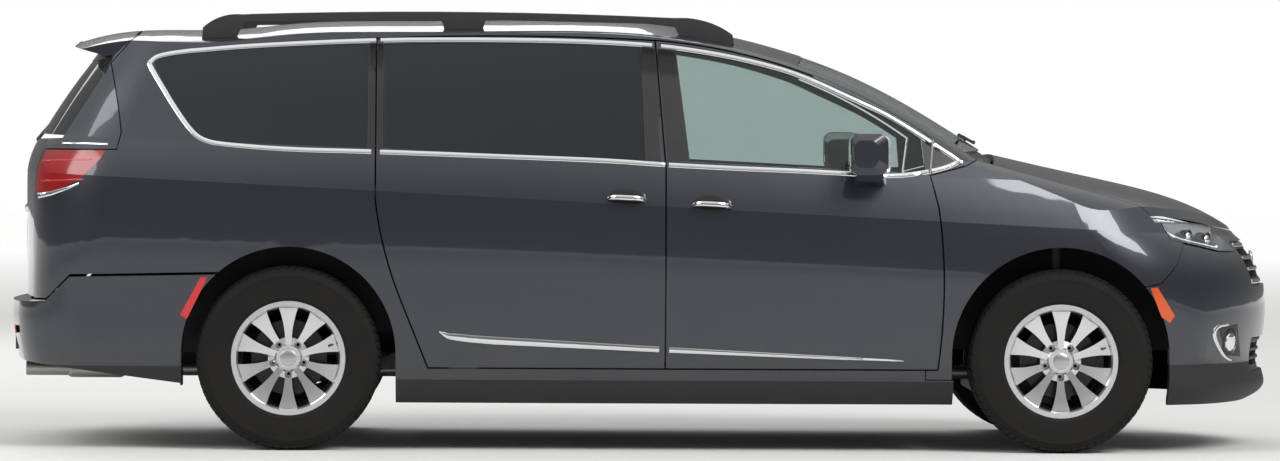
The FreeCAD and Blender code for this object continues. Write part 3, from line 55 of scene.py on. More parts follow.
WHEEL_X = {"front": 1.6635, "rear": -1.4255}
WHEEL_Y = 0.8675
WHEEL_RADIUS = 0.36865
PATH_STEP = 0.02
FINE_STEP = 0.012


class Side(Enum):
    """One side of the van, with the sign of its Y axis."""

    LEFT = 1
    RIGHT = -1

    @property
    def word(self) -> str:
        """The side's name as the nodes have it."""
        return self.name.lower()

    @property
    def door(self) -> str:
        """The body of the side's front door."""
        return "front_door_" + self.word


class Rim(Enum):
    """The section of a strip: places across its width and up its height, where 0 is its underside."""

    ROUND = ((-0.5, 0.0), (-0.5, 0.3), (-0.42, 0.75), (-0.2, 1.0), (0.2, 1.0), (0.42, 0.75), (0.5, 0.3),
             (0.5, 0.0))
    FLAT = ((-0.5, 0.0), (-0.5, 0.8), (-0.46, 1.0), (0.46, 1.0), (0.5, 0.8), (0.5, 0.0))


# Node trees


Color = Socket | Triple


def opaque(color: Sequence[float]) -> tuple[float, ...]:
    """A colour with full alpha."""
    return (*color, 1.0)


class Sheet:
    """A node tree that is filled with short calls."""

    def __init__(self, tree: bpy.types.NodeTree) -> None:
        """Keeps the tree.

        Args:
            tree: The node tree to fill.
        """
        self.tree = tree

    def fill(self, node: Node, inputs: dict[str | int, object]) -> Node:
        """Sets or links a node's inputs.

        Args:
            node: The node.
            inputs: Its inputs by name or number, each a value or another node's output.

        Returns:
            The node.
        """
        for name, value in inputs.items():
            if isinstance(value, Socket):
                self.tree.links.new(value, node.inputs[name])
            else:
                node.inputs[name].default_value = value
        return node

    def add(self, kind: str, inputs: dict[str | int, object] | None = None, **settings: object) -> Node:
        """Adds a node.

        Args:
            kind: The node's type.
            inputs: Its inputs by name or number, each a value or another node's output.
            settings: Its own properties.

        Returns:
            The new node.
        """
        node = self.tree.nodes.new(kind)
        for name, value in settings.items():
            setattr(node, name, value)
        return self.fill(node, inputs or {})

    def place(self, kind: str = "Object") -> Socket:
        """The place on the object, or another of its coordinates."""
        return self.add("ShaderNodeTexCoord").outputs[kind]

    def parts(self, vector: Socket) -> Sequence[Socket]:
        """A vector's X, Y and Z."""
        return self.add("ShaderNodeSeparateXYZ", {0: vector}).outputs

    def math(self, operation: str, first: object, second: object = 0.0, third: object = 0.0) -> Socket:
        """One sum of up to three values."""
        return self.add("ShaderNodeMath", {0: first, 1: second, 2: third}, operation=operation).outputs[0]

    def mix(self, factor: object, first: Color, second: Color) -> Socket:
        """A blend of two colours, with the factor as the share of the second."""
        first, second = (end if isinstance(end, Socket) else opaque(end) for end in (first, second))
        return self.add("ShaderNodeMix", {0: factor, 6: first, 7: second}, data_type="RGBA").outputs[2]

    def blend(self, factor: object, first: object, second: object) -> Socket:
        """A number between two numbers, with the factor as the share of the second."""
        return self.add("ShaderNodeMix", {0: factor, 2: first, 3: second}, data_type="FLOAT").outputs[0]

    def ramp(self, value: Socket, low: object, high: float, start: float = 0.0, stop: float = 1.0) -> Socket:
        """A value taken from the range low to high to the range start to stop."""
        ends = {"From Min": low, "From Max": high, "To Min": start, "To Max": stop}
        return self.add("ShaderNodeMapRange", {"Value": value, **ends}).outputs["Result"]


def new_tree(kind: str, name: str, inputs: dict[str, str | float],
             outputs: dict[str, str]) -> tuple[Sheet, Node, Node]:
    """An empty node group with its sockets.

    Args:
        kind: Shader or Geometry.
        name: The group's name.
        inputs: Its inputs, each with its socket type, or a number as its default.
        outputs: Its outputs with their socket types.

    Returns:
        The sheet, the input node and the output node.
    """
    tree = bpy.data.node_groups.new(name, kind + "NodeTree")
    for way, sockets in (("INPUT", inputs), ("OUTPUT", outputs)):
        for socket, value in sockets.items():
            typed = isinstance(value, str)
            made = tree.interface.new_socket(socket, in_out=way,
                                             socket_type="NodeSocket" + (value if typed else "Float"))
            if not typed:
                made.default_value = value
    sheet = Sheet(tree)
    return sheet, sheet.add("NodeGroupInput"), sheet.add("NodeGroupOutput")


class Effects:
    """The shader groups that several materials share."""

    def __init__(self) -> None:
        """Builds every group once."""
        self.grain = self.make_grain()
        self.flake = self.make_flake()
        self.dust = self.make_dust()
        self.weave = self.make_weave()
        self.inside = self.make_inside()
        self.band = self.make_band()

    def make_grain(self) -> bpy.types.NodeTree:
        """Leather-like pebbles of a moulded or cast skin, and a mottle over them."""
        sheet, given, out = new_tree("Shader", "moulded_grain", {"Scale": 300.0}, {"Height": "Float",
                                                                                   "Mottle": "Float"})
        place = sheet.place()
        cells = sheet.add("ShaderNodeTexVoronoi", {"Vector": place, "Scale": given.outputs["Scale"]})
        cloud = sheet.add("ShaderNodeTexNoise", {"Vector": place, "Scale": 9.0, "Detail": 5.0})
        sheet.fill(out, {"Height": cells.outputs["Distance"], "Mottle": cloud.outputs["Fac"]})
        return sheet.tree

    def make_flake(self) -> bpy.types.NodeTree:
        """Flakes of metal in a paint, lighter and darker at random."""
        sheet, given, out = new_tree("Shader", "metal_flake", {"Scale": 900.0, "Amount": 0.5},
                                     {"Value": "Float"})
        cells = sheet.add("ShaderNodeTexVoronoi", {"Vector": sheet.place(), "Scale": given.outputs["Scale"]})
        parts = sheet.add("ShaderNodeSeparateColor", {"Color": cells.outputs["Color"]})
        sheet.fill(out, {"Value": sheet.math("MULTIPLY", parts.outputs["Red"], given.outputs["Amount"])})
        return sheet.tree

    def make_dust(self) -> bpy.types.NodeTree:
        """Road dust that thins out with height."""
        sheet, given, out = new_tree("Shader", "road_dust", {"Top": 0.75, "Amount": 0.4}, {"Mask": "Float"})
        place = sheet.place()
        low = sheet.ramp(sheet.parts(place)["Z"], given.outputs["Top"], 0.15)
        cloud = sheet.add("ShaderNodeTexNoise", {"Vector": place, "Scale": 6.0, "Detail": 8.0,
                                                 "Roughness": 0.7})
        speck = sheet.math("MULTIPLY", low, cloud.outputs["Fac"])
        sheet.fill(out, {"Mask": sheet.math("MULTIPLY", speck, given.outputs["Amount"])})
        return sheet.tree

    def make_weave(self) -> bpy.types.NodeTree:
        """Threads that cross over and under each other on any face."""
        sheet, given, out = new_tree("Shader", "woven_cloth", {"Scale": 1500.0}, {"Height": "Float",
                                                                                  "Shade": "Float"})
        place = sheet.place()
        x, y, z = (sheet.math("SINE", sheet.math("MULTIPLY", part, given.outputs["Scale"]))
                   for part in sheet.parts(place))
        crossing = sheet.math("ADD", sheet.math("MULTIPLY", x, y), sheet.math(
            "ADD", sheet.math("MULTIPLY", y, z), sheet.math("MULTIPLY", x, z)))
        height = sheet.math("MULTIPLY_ADD", crossing, 0.33, 0.5)
        cloud = sheet.add("ShaderNodeTexNoise", {"Vector": place, "Scale": 160.0, "Detail": 3.0})
        sheet.fill(out, {"Height": height, "Shade": sheet.math("MULTIPLY", height, cloud.outputs["Fac"])})
        return sheet.tree

    def make_inside(self) -> bpy.types.NodeTree:
        """Faces that look inward, to the cabin or the engine bay, seen from a line along the van's middle."""
        sheet, _, out = new_tree("Shader", "inner_face", {}, {"Mask": "Float"})
        x, y, z = sheet.parts(sheet.place())
        outward = sheet.add("ShaderNodeCombineXYZ", {0: sheet.math("MULTIPLY", x, 0.12), 1: y, 2: sheet.math(
            "MULTIPLY", sheet.math("SUBTRACT", z, 0.7), 0.8)})
        unit = sheet.add("ShaderNodeVectorMath", {0: outward.outputs[0]}, operation="NORMALIZE")
        facing = sheet.add("ShaderNodeVectorMath", {0: unit.outputs[0], 1: sheet.place("Normal")},
                           operation="DOT_PRODUCT")
        sheet.fill(out, {"Mask": sheet.math("LESS_THAN", facing.outputs["Value"], -0.35)})
        return sheet.tree

    def make_band(self) -> bpy.types.NodeTree:
        """What lies below a height, with a crisp edge."""
        sheet, given, out = new_tree("Shader", "low_band", {"Height": 0.3}, {"Mask": "Float"})
        low = sheet.math("LESS_THAN", sheet.parts(sheet.place())["Z"], given.outputs["Height"])
        sheet.fill(out, {"Mask": low})
        return sheet.tree


class Surface(Sheet):
    """A material's sheet, with its shader and the shared effects."""

    def __init__(self, tree: bpy.types.NodeTree, effects: Effects) -> None:
        """Finds the shader.

        Args:
            tree: The material's tree.
            effects: The shared effects.
        """
        super().__init__(tree)
        self.effects = effects
        self.shader = tree.nodes["Principled BSDF"]

    def use(self, group: bpy.types.NodeTree, **values: float) -> Sequence[Socket]:
        """Places a shared effect with its values here, and gives its outputs."""
        return self.add("ShaderNodeGroup", values, node_tree=group).outputs

    def dust(self, top: float, amount: float) -> Socket:
        """The mask of the road dust up to a height."""
        return self.use(self.effects.dust, Top=top, Amount=amount)["Mask"]

    def set(self, values: dict[str, object]) -> None:
        """Sets or links the shader's inputs by name."""
        self.fill(self.shader, values)

    def relief(self, height: Socket, strength: float, deep: float) -> None:
        """Turns a height into relief.

        Args:
            height: The height.
            strength: How much of it is taken.
            deep: The height of 1, in metres.
        """
        bump = self.add("ShaderNodeBump", {"Height": height, "Strength": strength, "Distance": deep})
        self.set({"Normal": bump.outputs["Normal"]})


# Finishes


@dataclass(frozen=True)
class Finish:
    """A surface: its colour and gloss. Each kind adds its own texture."""

    name: str
    color: Triple
    roughness: float = 0.4
    metallic: float = 0.0

    def texture(self, sheet: Surface) -> None:
        """Adds what is special to this kind of surface."""
        raise NotImplementedError

    def build(self, effects: Effects) -> bpy.types.Material:
        """Makes the material.

        Args:
            effects: The shared effects.

        Returns:
            The material.
        """
        material = bpy.data.materials.new(self.name)
        material.use_nodes = True
        material.diffuse_color = opaque(self.color)
        sheet = Surface(material.node_tree, effects)
        sheet.set({"Base Color": opaque(self.color), "Roughness": self.roughness, "Metallic": self.metallic})
        self.texture(sheet)
        return material


@dataclass(frozen=True)
class Paint(Finish):
    """Metallic paint under clear lacquer, with dust low down and trim on the faces that look inward."""

    plastic_below: float = -1.0

    def texture(self, sheet: Surface) -> None:
        """Adds flakes, lacquer, dust, the inner lining and a near-black lower edge: plastic on the bumpers,
        painted shade on the body sides.
        """
        bright = tuple(min(1.0, c * 2.3 + 0.006) for c in self.color)
        flake = sheet.use(sheet.effects.flake, Scale=1400.0, Amount=0.6)["Value"]
        dust = sheet.dust(0.62, 0.30)
        inside = sheet.use(sheet.effects.inside)["Mask"]
        # The near-black lower edge: real plastic on the bumpers, painted shade over the body-coloured sills of
        # the body sides.
        low = sheet.use(sheet.effects.band, Height=self.plastic_below)["Mask"]
        color = sheet.mix(dust, sheet.mix(flake, self.color, bright), (0.16, 0.15, 0.13))
        color = sheet.mix(inside, color, (0.09, 0.088, 0.084))
        dull = sheet.math("MAXIMUM", inside, low)
        sheet.set({"Base Color": sheet.mix(low, color, (0.012, 0.012, 0.013)),
                   "Roughness": sheet.blend(dull, self.roughness, 0.6),
                   "Metallic": sheet.blend(dull, self.metallic, 0.0),
                   "Coat Weight": sheet.blend(sheet.math("MAXIMUM", dull, dust), 1.0, 0.0),
                   "Coat Roughness": 0.04})
        sheet.relief(sheet.use(sheet.effects.grain, Scale=260.0)["Height"], 0.04, 0.0004)


@dataclass(frozen=True)
class Moulding(Finish):
    """Grained plastic, cast metal or coated steel, with mottling and dust."""

    grain_scale: float = 420.0
    grain_depth: float = 0.35
    dust: float = 0.25
    coat: float = 0.0

    def texture(self, sheet: Surface) -> None:
        """Adds grain, mottling and dust."""
        grain = sheet.use(sheet.effects.grain, Scale=self.grain_scale)
        color = sheet.mix(grain["Mottle"], tuple(c * 0.72 for c in self.color), self.color)
        rough = sheet.blend(grain["Mottle"], self.roughness * 0.85, min(1.0, self.roughness * 1.15))
        sheet.set({"Base Color": sheet.mix(sheet.dust(0.7, self.dust), color, (0.17, 0.16, 0.14)),
                   "Roughness": rough, "Coat Weight": self.coat, "Coat Roughness": 0.05})
        sheet.relief(grain["Height"], self.grain_depth, 0.0008)


@dataclass(frozen=True)
class Bright(Finish):
    """Plated or machined metal with faint smears and a little dust."""

    smear: float = 0.12

    def texture(self, sheet: Surface) -> None:
        """Adds smears and dust."""
        grain = sheet.use(sheet.effects.grain, Scale=70.0)
        sheet.set({"Base Color": sheet.mix(sheet.dust(0.55, 0.22), self.color, (0.24, 0.22, 0.19)),
                   "Roughness": sheet.blend(grain["Mottle"], self.roughness, self.roughness + self.smear)})
        sheet.relief(grain["Height"], 0.03, 0.0005)


@dataclass(frozen=True)
class Alloy(Finish):
    """A cast wheel: bright lacquered outer faces, and painted shade, near black, on the wells between and
    behind the spokes.
    """

    def texture(self, sheet: Surface) -> None:
        """Tells the outer faces from the wells, and paints shade into the wells."""
        across = sheet.parts(sheet.place())["Y"]
        turned = sheet.parts(sheet.place("Normal"))["Y"]
        faces_out = sheet.math("MULTIPLY", sheet.math("MULTIPLY", turned, across), 1.15)
        near = sheet.ramp(sheet.math("ABSOLUTE", across), 0.87, 0.925)
        lit = sheet.math("MULTIPLY", sheet.math("GREATER_THAN", faces_out, 0.35), near)
        cloud = sheet.use(sheet.effects.grain, Scale=500.0)
        # Painted shade: every face that doesn't look outward near the wheel's face gets this near-black colour
        # in place of the alloy's.
        well_painted_shade = sheet.mix(cloud["Mottle"], (0.02, 0.02, 0.02), (0.05, 0.05, 0.05))
        sheet.set({"Base Color": sheet.mix(lit, well_painted_shade, self.color),
                   "Roughness": sheet.blend(lit, 0.5, self.roughness),
                   "Metallic": sheet.blend(lit, 0.7, self.metallic),
                   "Coat Weight": 0.4, "Coat Roughness": 0.08})
        sheet.relief(cloud["Height"], 0.06, 0.0005)


@dataclass(frozen=True)
class Glass(Finish):
    """Window glass or a lamp lens, with a little dust."""

    transmission: float = 1.0
    ior: float = 1.45
    coat: float = 0.0

    def texture(self, sheet: Surface) -> None:
        """Lets light through and adds dust."""
        grain = sheet.use(sheet.effects.grain, Scale=24.0)
        dusty = tuple(c * 0.9 + 0.02 for c in self.color)
        sheet.set({"Base Color": sheet.mix(sheet.dust(1.9, 0.12), self.color, dusty),
                   "Roughness": sheet.blend(grain["Mottle"], self.roughness, self.roughness + 0.01),
                   "Transmission Weight": self.transmission, "IOR": self.ior, "Coat Weight": self.coat,
                   "Coat Roughness": 0.02})


@dataclass(frozen=True)
class Lens(Finish):
    """A coloured lamp lens with rows of small prisms behind a smooth face."""

    dark: Triple = (0.1, 0.0, 0.0)
    pitch: float = 0.012
    rear: Triple | None = None

    def texture(self, sheet: Surface) -> None:
        """Adds the prisms, and a second colour behind the van's middle where there is one."""
        x, _, z = sheet.parts(sheet.place())
        rows = [sheet.math("SINE", sheet.math("MULTIPLY", part, 2 * math.pi / self.pitch)) for part in (x, z)]
        prism = sheet.math("MULTIPLY_ADD", sheet.math("MULTIPLY", *rows), 0.5, 0.5)
        mottle = sheet.use(sheet.effects.grain, Scale=30.0)["Mottle"]
        color = sheet.mix(sheet.math("MULTIPLY", prism, mottle), self.color, self.dark)
        if self.rear:
            color = sheet.mix(sheet.math("LESS_THAN", x, 0.0), color, self.rear)
        sheet.set({"Base Color": color, "Coat Weight": 0.55, "Coat Roughness": 0.03})
        sheet.relief(prism, 0.25, 0.0008)


@dataclass(frozen=True)
class Cloth(Finish):
    """Woven seat cloth with a soft sheen."""

    threads: float = 1500.0

    def texture(self, sheet: Surface) -> None:
        """Adds the weave."""
        weave = sheet.use(sheet.effects.weave, Scale=self.threads)
        light = tuple(min(1.0, c * 1.9) for c in self.color)
        sheet.set({"Base Color": sheet.mix(weave["Shade"], self.color, light), "Sheen Weight": 0.3,
                   "Sheen Roughness": 0.5})
        sheet.relief(weave["Height"], 0.3, 0.0004)


@dataclass(frozen=True)
class Ground(Finish):
    """A pale studio floor that runs out into the white background."""

    def texture(self, sheet: Surface) -> None:
        """Adds a faint mottle, and a glow that grows with the distance from the van."""
        away = sheet.add("ShaderNodeVectorMath", {0: sheet.place()}, operation="LENGTH").outputs["Value"]
        glow = sheet.mix(sheet.ramp(away, 5.0, 34.0, 0.0, 0.56), (0.0, 0.0, 0.0), (1.0, 1.0, 1.0))
        mottle = sheet.use(sheet.effects.grain, Scale=60.0)["Mottle"]
        sheet.set({"Base Color": sheet.mix(mottle, tuple(c * 0.97 for c in self.color), self.color),
                   "Emission Color": glow, "Emission Strength": 1.0})


@dataclass(frozen=True)
class Rubber(Finish):
    """Tyre rubber, browned and dusty."""

    def texture(self, sheet: Surface) -> None:
        """Adds the browning, the dust and a fine grain."""
        grain = sheet.use(sheet.effects.grain, Scale=650.0)
        color = sheet.mix(grain["Mottle"], self.color, (0.012, 0.011, 0.010))
        sheet.set({"Base Color": sheet.mix(sheet.dust(0.8, 0.07), color, (0.08, 0.074, 0.062)),
                   "Specular IOR Level": 0.16})
        sheet.relief(grain["Height"], 0.3, 0.0005)


GREY_PAINT = (0.015, 0.017, 0.024)
FINISHES = (
    Paint("body_paint", GREY_PAINT, 0.34, 0.55),
    Paint("bumper_paint", GREY_PAINT, 0.34, 0.55, plastic_below=0.355),
    # Painted shade: the sills below this height are painted near black, though they are body colour and only
    # lie in shade.
    Paint("side_paint", GREY_PAINT, 0.34, 0.55, plastic_below=0.285),
    Paint("tail_bumper_paint", GREY_PAINT, 0.34, 0.55, plastic_below=0.335),
    Bright("chrome", (0.78, 0.79, 0.80), 0.07, 1.0, smear=0.10),
    Bright("satin_metal", (0.55, 0.55, 0.56), 0.28, 1.0),
    Moulding("chassis_steel", (0.12, 0.12, 0.12), 0.55, 0.7, 300.0, 0.4),
    Moulding("chassis_black", (0.02, 0.02, 0.021), 0.8, 0.0, 160.0, 0.6),
    Moulding("engine_metal", (0.32, 0.32, 0.32), 0.5, 0.9, 240.0, 0.5, 0.1),
    Bright("exhaust_steel", (0.42, 0.40, 0.37), 0.3, 1.0, smear=0.25),
    Moulding("black_plastic", (0.018, 0.018, 0.019), 0.5, 0.0, 520.0, 0.25),
    Moulding("gloss_black", (0.005, 0.005, 0.006), 0.3, 0.0, 90.0, 0.02, 0.05, coat=0.4),
    Moulding("interior_plastic", (0.055, 0.053, 0.050), 0.6, 0.0, 700.0, 0.5, 0.0),
    # The last value of the two cloths is the metallic one, and the shader takes what is over 1 as 1.
    Cloth("seat_cloth", (0.075, 0.073, 0.070), 0.9, 2400.0),
    Cloth("seat_thread", (0.30, 0.29, 0.27), 0.8, 4000.0),
    Glass("clear_glass", (0.52, 0.60, 0.58), 0.0),
    Glass("dark_glass", (0.018, 0.021, 0.024), 0.02, transmission=0.55),
    Glass("lamp_clear", (0.93, 0.95, 0.97), 0.0, ior=1.08, coat=1.0),
    Lens("lamp_red", (0.30, 0.002, 0.004), 0.12, dark=(0.10, 0.0, 0.001)),
    Lens("marker_amber", (0.62, 0.085, 0.006), 0.15, dark=(0.30, 0.03, 0.0), pitch=0.008,
         rear=(0.50, 0.008, 0.012)),
    Lens("marker_red", (0.55, 0.01, 0.015), 0.15, dark=(0.2, 0.0, 0.0), pitch=0.008),
    Bright("lamp_reflector", (0.30, 0.31, 0.33), 0.16, 1.0),
    Bright("mirror_glass", (0.86, 0.87, 0.88), 0.01, 1.0, smear=0.02),
    Rubber("tyre", (0.007, 0.007, 0.0074), 0.75),
    Alloy("wheel_alloy", (0.66, 0.66, 0.67), 0.24, 0.85),
    Moulding("blank_plate", (0.62, 0.62, 0.60), 0.4, 0.0, 60.0, 0.05, 0.1),
    Ground("pale_floor", (0.70, 0.70, 0.69), 0.8),
)

# The solids that each finish goes on. A name that ends in an underscore stands for both sides.
CARRIED = {
    "body_paint": ("front_fenders", "roof", "hood", "liftgate", "sliding_door_", "front_door_", "mirror_"),
    "bumper_paint": ("front_bumper",),
    "side_paint": ("body_side_",),
    "tail_bumper_paint": ("rear_bumper",),
    "black_plastic": ("grille", "cowl", "roof_rails"),
    "clear_glass": ("windscreen", "front_door_glass_"),
    "dark_glass": ("side_glass", "liftgate_glass"),
    "lamp_clear": ("headlamps",),
    "lamp_red": ("tail_lamps",),
    "marker_amber": ("side_markers",),
    "chassis_black": ("underbody", "fuel_tank"),
    "chassis_steel": ("front_suspension", "rear_axle", "knuckle_"),
    "engine_metal": ("engine",),
    "exhaust_steel": ("exhaust",),
    "interior_plastic": ("dashboard", "steering_wheel"),
    "seat_cloth": ("front_seats", "second_row_seats", "third_row_seat"),
    "tyre": ("tyre_front_", "tyre_rear_"),
    "wheel_alloy": ("wheel_front_", "wheel_rear_"),
}

# The solids that make up the outer surface.
SHELL = ["front_bumper", "grille", "front_fenders", "roof", "windscreen", "cowl", "hood", "side_glass",
         "rear_bumper", "liftgate", "liftgate_glass", "headlamps", "tail_lamps"] + [
    f"{name}_{side.word}" for name in ("body_side", "sliding_door", "front_door", "front_door_glass")
    for side in Side]


# Shapes


def linked(name: str, data: bpy.types.ID) -> Piece:
    """A new object in the scene with the given mesh, light or camera."""
    piece = bpy.data.objects.new(name, data)
    bpy.context.scene.collection.objects.link(piece)
    return piece


def from_bmesh(name: str, mesh: bmesh.types.BMesh) -> Piece:
    """A new object from a mesh in the making, which is used up."""
    data = bpy.data.meshes.new(name)
    mesh.to_mesh(data)
    mesh.free()
    return linked(name, data)


def baked(piece: Piece, modifier: bpy.types.Modifier) -> Piece:
    """Keeps what a modifier makes as the piece's plain mesh."""
    bpy.context.view_layer.update()
    graph = bpy.context.evaluated_depsgraph_get()
    piece.data = bpy.data.meshes.new_from_object(piece.evaluated_get(graph))
    piece.modifiers.remove(modifier)
    return piece


def settle(piece: Piece, body: str) -> Piece:
    """Lets a piece ride on a body.

    Args:
        piece: The piece.
        body: The body.

    Returns:
        The piece.
    """
    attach(piece, body)
    LOG.info("%s: %d faces on %s", piece.name, len(piece.data.polygons), body)
    return piece


def joined(pieces: Sequence[Piece], name: str) -> Piece:
    """Joins the meshes of several pieces that share a finish, into the first one."""
    mesh = bmesh.new()
    for piece in pieces:
        mesh.from_mesh(piece.data)
    first = pieces[0]
    mesh.to_mesh(first.data)
    mesh.free()
    for piece in pieces[1:]:
        bpy.data.objects.remove(piece)
    first.name = name
    return first


def lerp(a: Sequence[float], b: Sequence[float], t: float) -> Point:
    """The point a share t of the way from a to b."""
    return (a[0] * (1 - t) + b[0] * t, a[1] * (1 - t) + b[1] * t)


def denser(path: Sequence[Point], step: float = PATH_STEP) -> list[Point]:
    """A path with points at most a step apart."""
    out = [path[0]]
    for a, b in zip(path, path[1:]):
        parts = max(1, math.ceil(math.dist(a, b) / step))
        out += [lerp(a, b, i / parts) for i in range(1, parts + 1)]
    return out


def rounder(path: Sequence[Point], times: int = 2) -> list[Point]:
    """A path with its corners cut so many times, and its ends kept."""
    points = list(path)
    for _ in range(times):
        cuts = [lerp(a, b, t) for a, b in zip(points, points[1:]) for t in (0.25, 0.75)]
        points = [points[0], *cuts, points[-1]]
    return points


class Shape:
    """A mesh in the making, from swept strips, turned forms, slabs and blocks."""

    SHARP = math.radians(38)
    UNDER = 0.002

    def __init__(self) -> None:
        """Starts an empty mesh."""
        self.mesh = bmesh.new()

    def rings(self, rings: Sequence[Sequence[Vector]], loop: bool = False) -> "Shape":
        """Joins closed rings of points one after the other, with flat ends.

        Args:
            rings: The rings, all with as many points.
            loop: Whether the last ring joins the first.

        Returns:
            The shape itself.
        """
        made = [[self.mesh.verts.new(p) for p in ring] for ring in rings]
        pairs = list(zip(made, made[1:])) + ([(made[-1], made[0])] if loop else [])
        count = len(made[0])
        for a, b in pairs:
            for i in range(count):
                self.mesh.faces.new((a[i], a[(i + 1) % count], b[(i + 1) % count], b[i]))
        if not loop:
            self.mesh.faces.new(made[0])
            self.mesh.faces.new(made[-1])
        return self

    def strip(self, hits: Sequence[Hit], widths: float | Sequence[float], height: float, rim: Rim = Rim.ROUND,
              lifts: float | Sequence[float] = 0.0, thick: float = UNDER) -> "Shape":
        """A strip laid along points of a surface.

        Args:
            hits: The points and the surface's outward normals there.
            widths: The strip's width, or its widths at the points.
            height: How far the strip stands out.
            rim: How its edges are shaped.
            lifts: How far the strip, or each point, is lifted from the surface.
            thick: How far its underside lies below that.

        Returns:
            The shape itself.
        """
        last = len(hits) - 1
        widths, lifts = ([v] * len(hits) if isinstance(v, float) else v for v in (widths, lifts))
        rings = []
        for i, (point, normal) in enumerate(hits):
            along = (hits[min(i + 1, last)][0] - hits[max(i - 1, 0)][0]).normalized()
            across = along.cross(normal).normalized()
            out = across.cross(along).normalized()
            rings.append([point + out * (lifts[i] + (h * height if h else -thick)) + across * (a * widths[i])
                          for a, h in rim.value])
        return self.rings(rings)

    def turned(self, profile: Sequence[Point], centre: Vector, axis: Sequence[float],
               steps: int = 48) -> "Shape":
        """A closed profile turned about an axis.

        Args:
            profile: Pairs of radius and place along the axis.
            centre: A point of the axis.
            axis: Its direction.
            steps: How many flats go round.

        Returns:
            The shape itself.
        """
        turn = Vector(axis).normalized().to_track_quat("Z", "X").to_matrix()
        angles = [2 * math.pi * i / steps for i in range(steps)]
        return self.rings([[centre + turn @ Vector((r * math.cos(a), r * math.sin(a), h)) for r, h in profile]
                           for a in angles], loop=True)

    def slab(self, rows: Sequence[Sequence[Hit]], out: float, sink: float) -> "Shape":
        """A plate that follows a grid of surface points.

        Args:
            rows: The grid's points and normals.
            out: How far its face stands out.
            sink: How far its back lies below.

        Returns:
            The shape itself.
        """
        tops, backs = ([[self.mesh.verts.new(p + n * rise) for p, n in row] for row in rows]
                       for rise in (out, -sink))
        high, wide = len(rows), len(rows[0])
        for sheet in (tops, backs):
            for r in range(high - 1):
                for c in range(wide - 1):
                    self.mesh.faces.new((sheet[r][c], sheet[r][c + 1], sheet[r + 1][c + 1], sheet[r + 1][c]))
        edge = ([(0, c) for c in range(wide)] + [(r, wide - 1) for r in range(1, high)]
                + [(high - 1, c) for c in range(wide - 2, -1, -1)] + [(r, 0) for r in range(high - 2, 0, -1)])
        for (ar, ac), (br, bc) in zip(edge, edge[1:] + edge[:1]):
            self.mesh.faces.new((tops[ar][ac], tops[br][bc], backs[br][bc], backs[ar][ac]))
        return self

    def block(self, low: Sequence[float], high: Sequence[float], round_by: float,
              turn: Matrix | None = None) -> "Shape":
        """A block with rounded edges.

        Args:
            low: Its lowest corner.
            high: Its highest corner.
            round_by: The radius of its edges.
            turn: How it is turned about its middle.

        Returns:
            The shape itself.
        """
        low, high = Vector(low), Vector(high)
        made = bmesh.ops.create_cube(self.mesh, size=1.0)["verts"]
        turned = turn.to_4x4() if turn else Matrix.Identity(4)
        place = Matrix.Translation((low + high) / 2) @ turned @ Matrix.Diagonal((*(high - low), 1.0))
        bmesh.ops.transform(self.mesh, matrix=place, verts=made)
        edges = list({e for v in made for e in v.link_edges})
        bmesh.ops.bevel(self.mesh, geom=edges, offset=round_by, segments=3, affect="EDGES", profile=0.5)
        return self

    def finish(self, name: str, material: bpy.types.Material, smooth: bool = True) -> Piece:
        """Closes the mesh, turns its faces outward and makes it an object.

        Args:
            name: Its name.
            material: Its finish.
            smooth: Whether its gentle edges are shaded smooth.

        Returns:
            The object.
        """
        bmesh.ops.remove_doubles(self.mesh, verts=self.mesh.verts, dist=1e-6)
        bmesh.ops.recalc_face_normals(self.mesh, faces=self.mesh.faces)
        piece = from_bmesh(name, self.mesh)
        piece.data.materials.append(material)
        if smooth:
            piece.data.shade_smooth()
            piece.data.set_sharp_from_angle(angle=self.SHARP)
        return piece


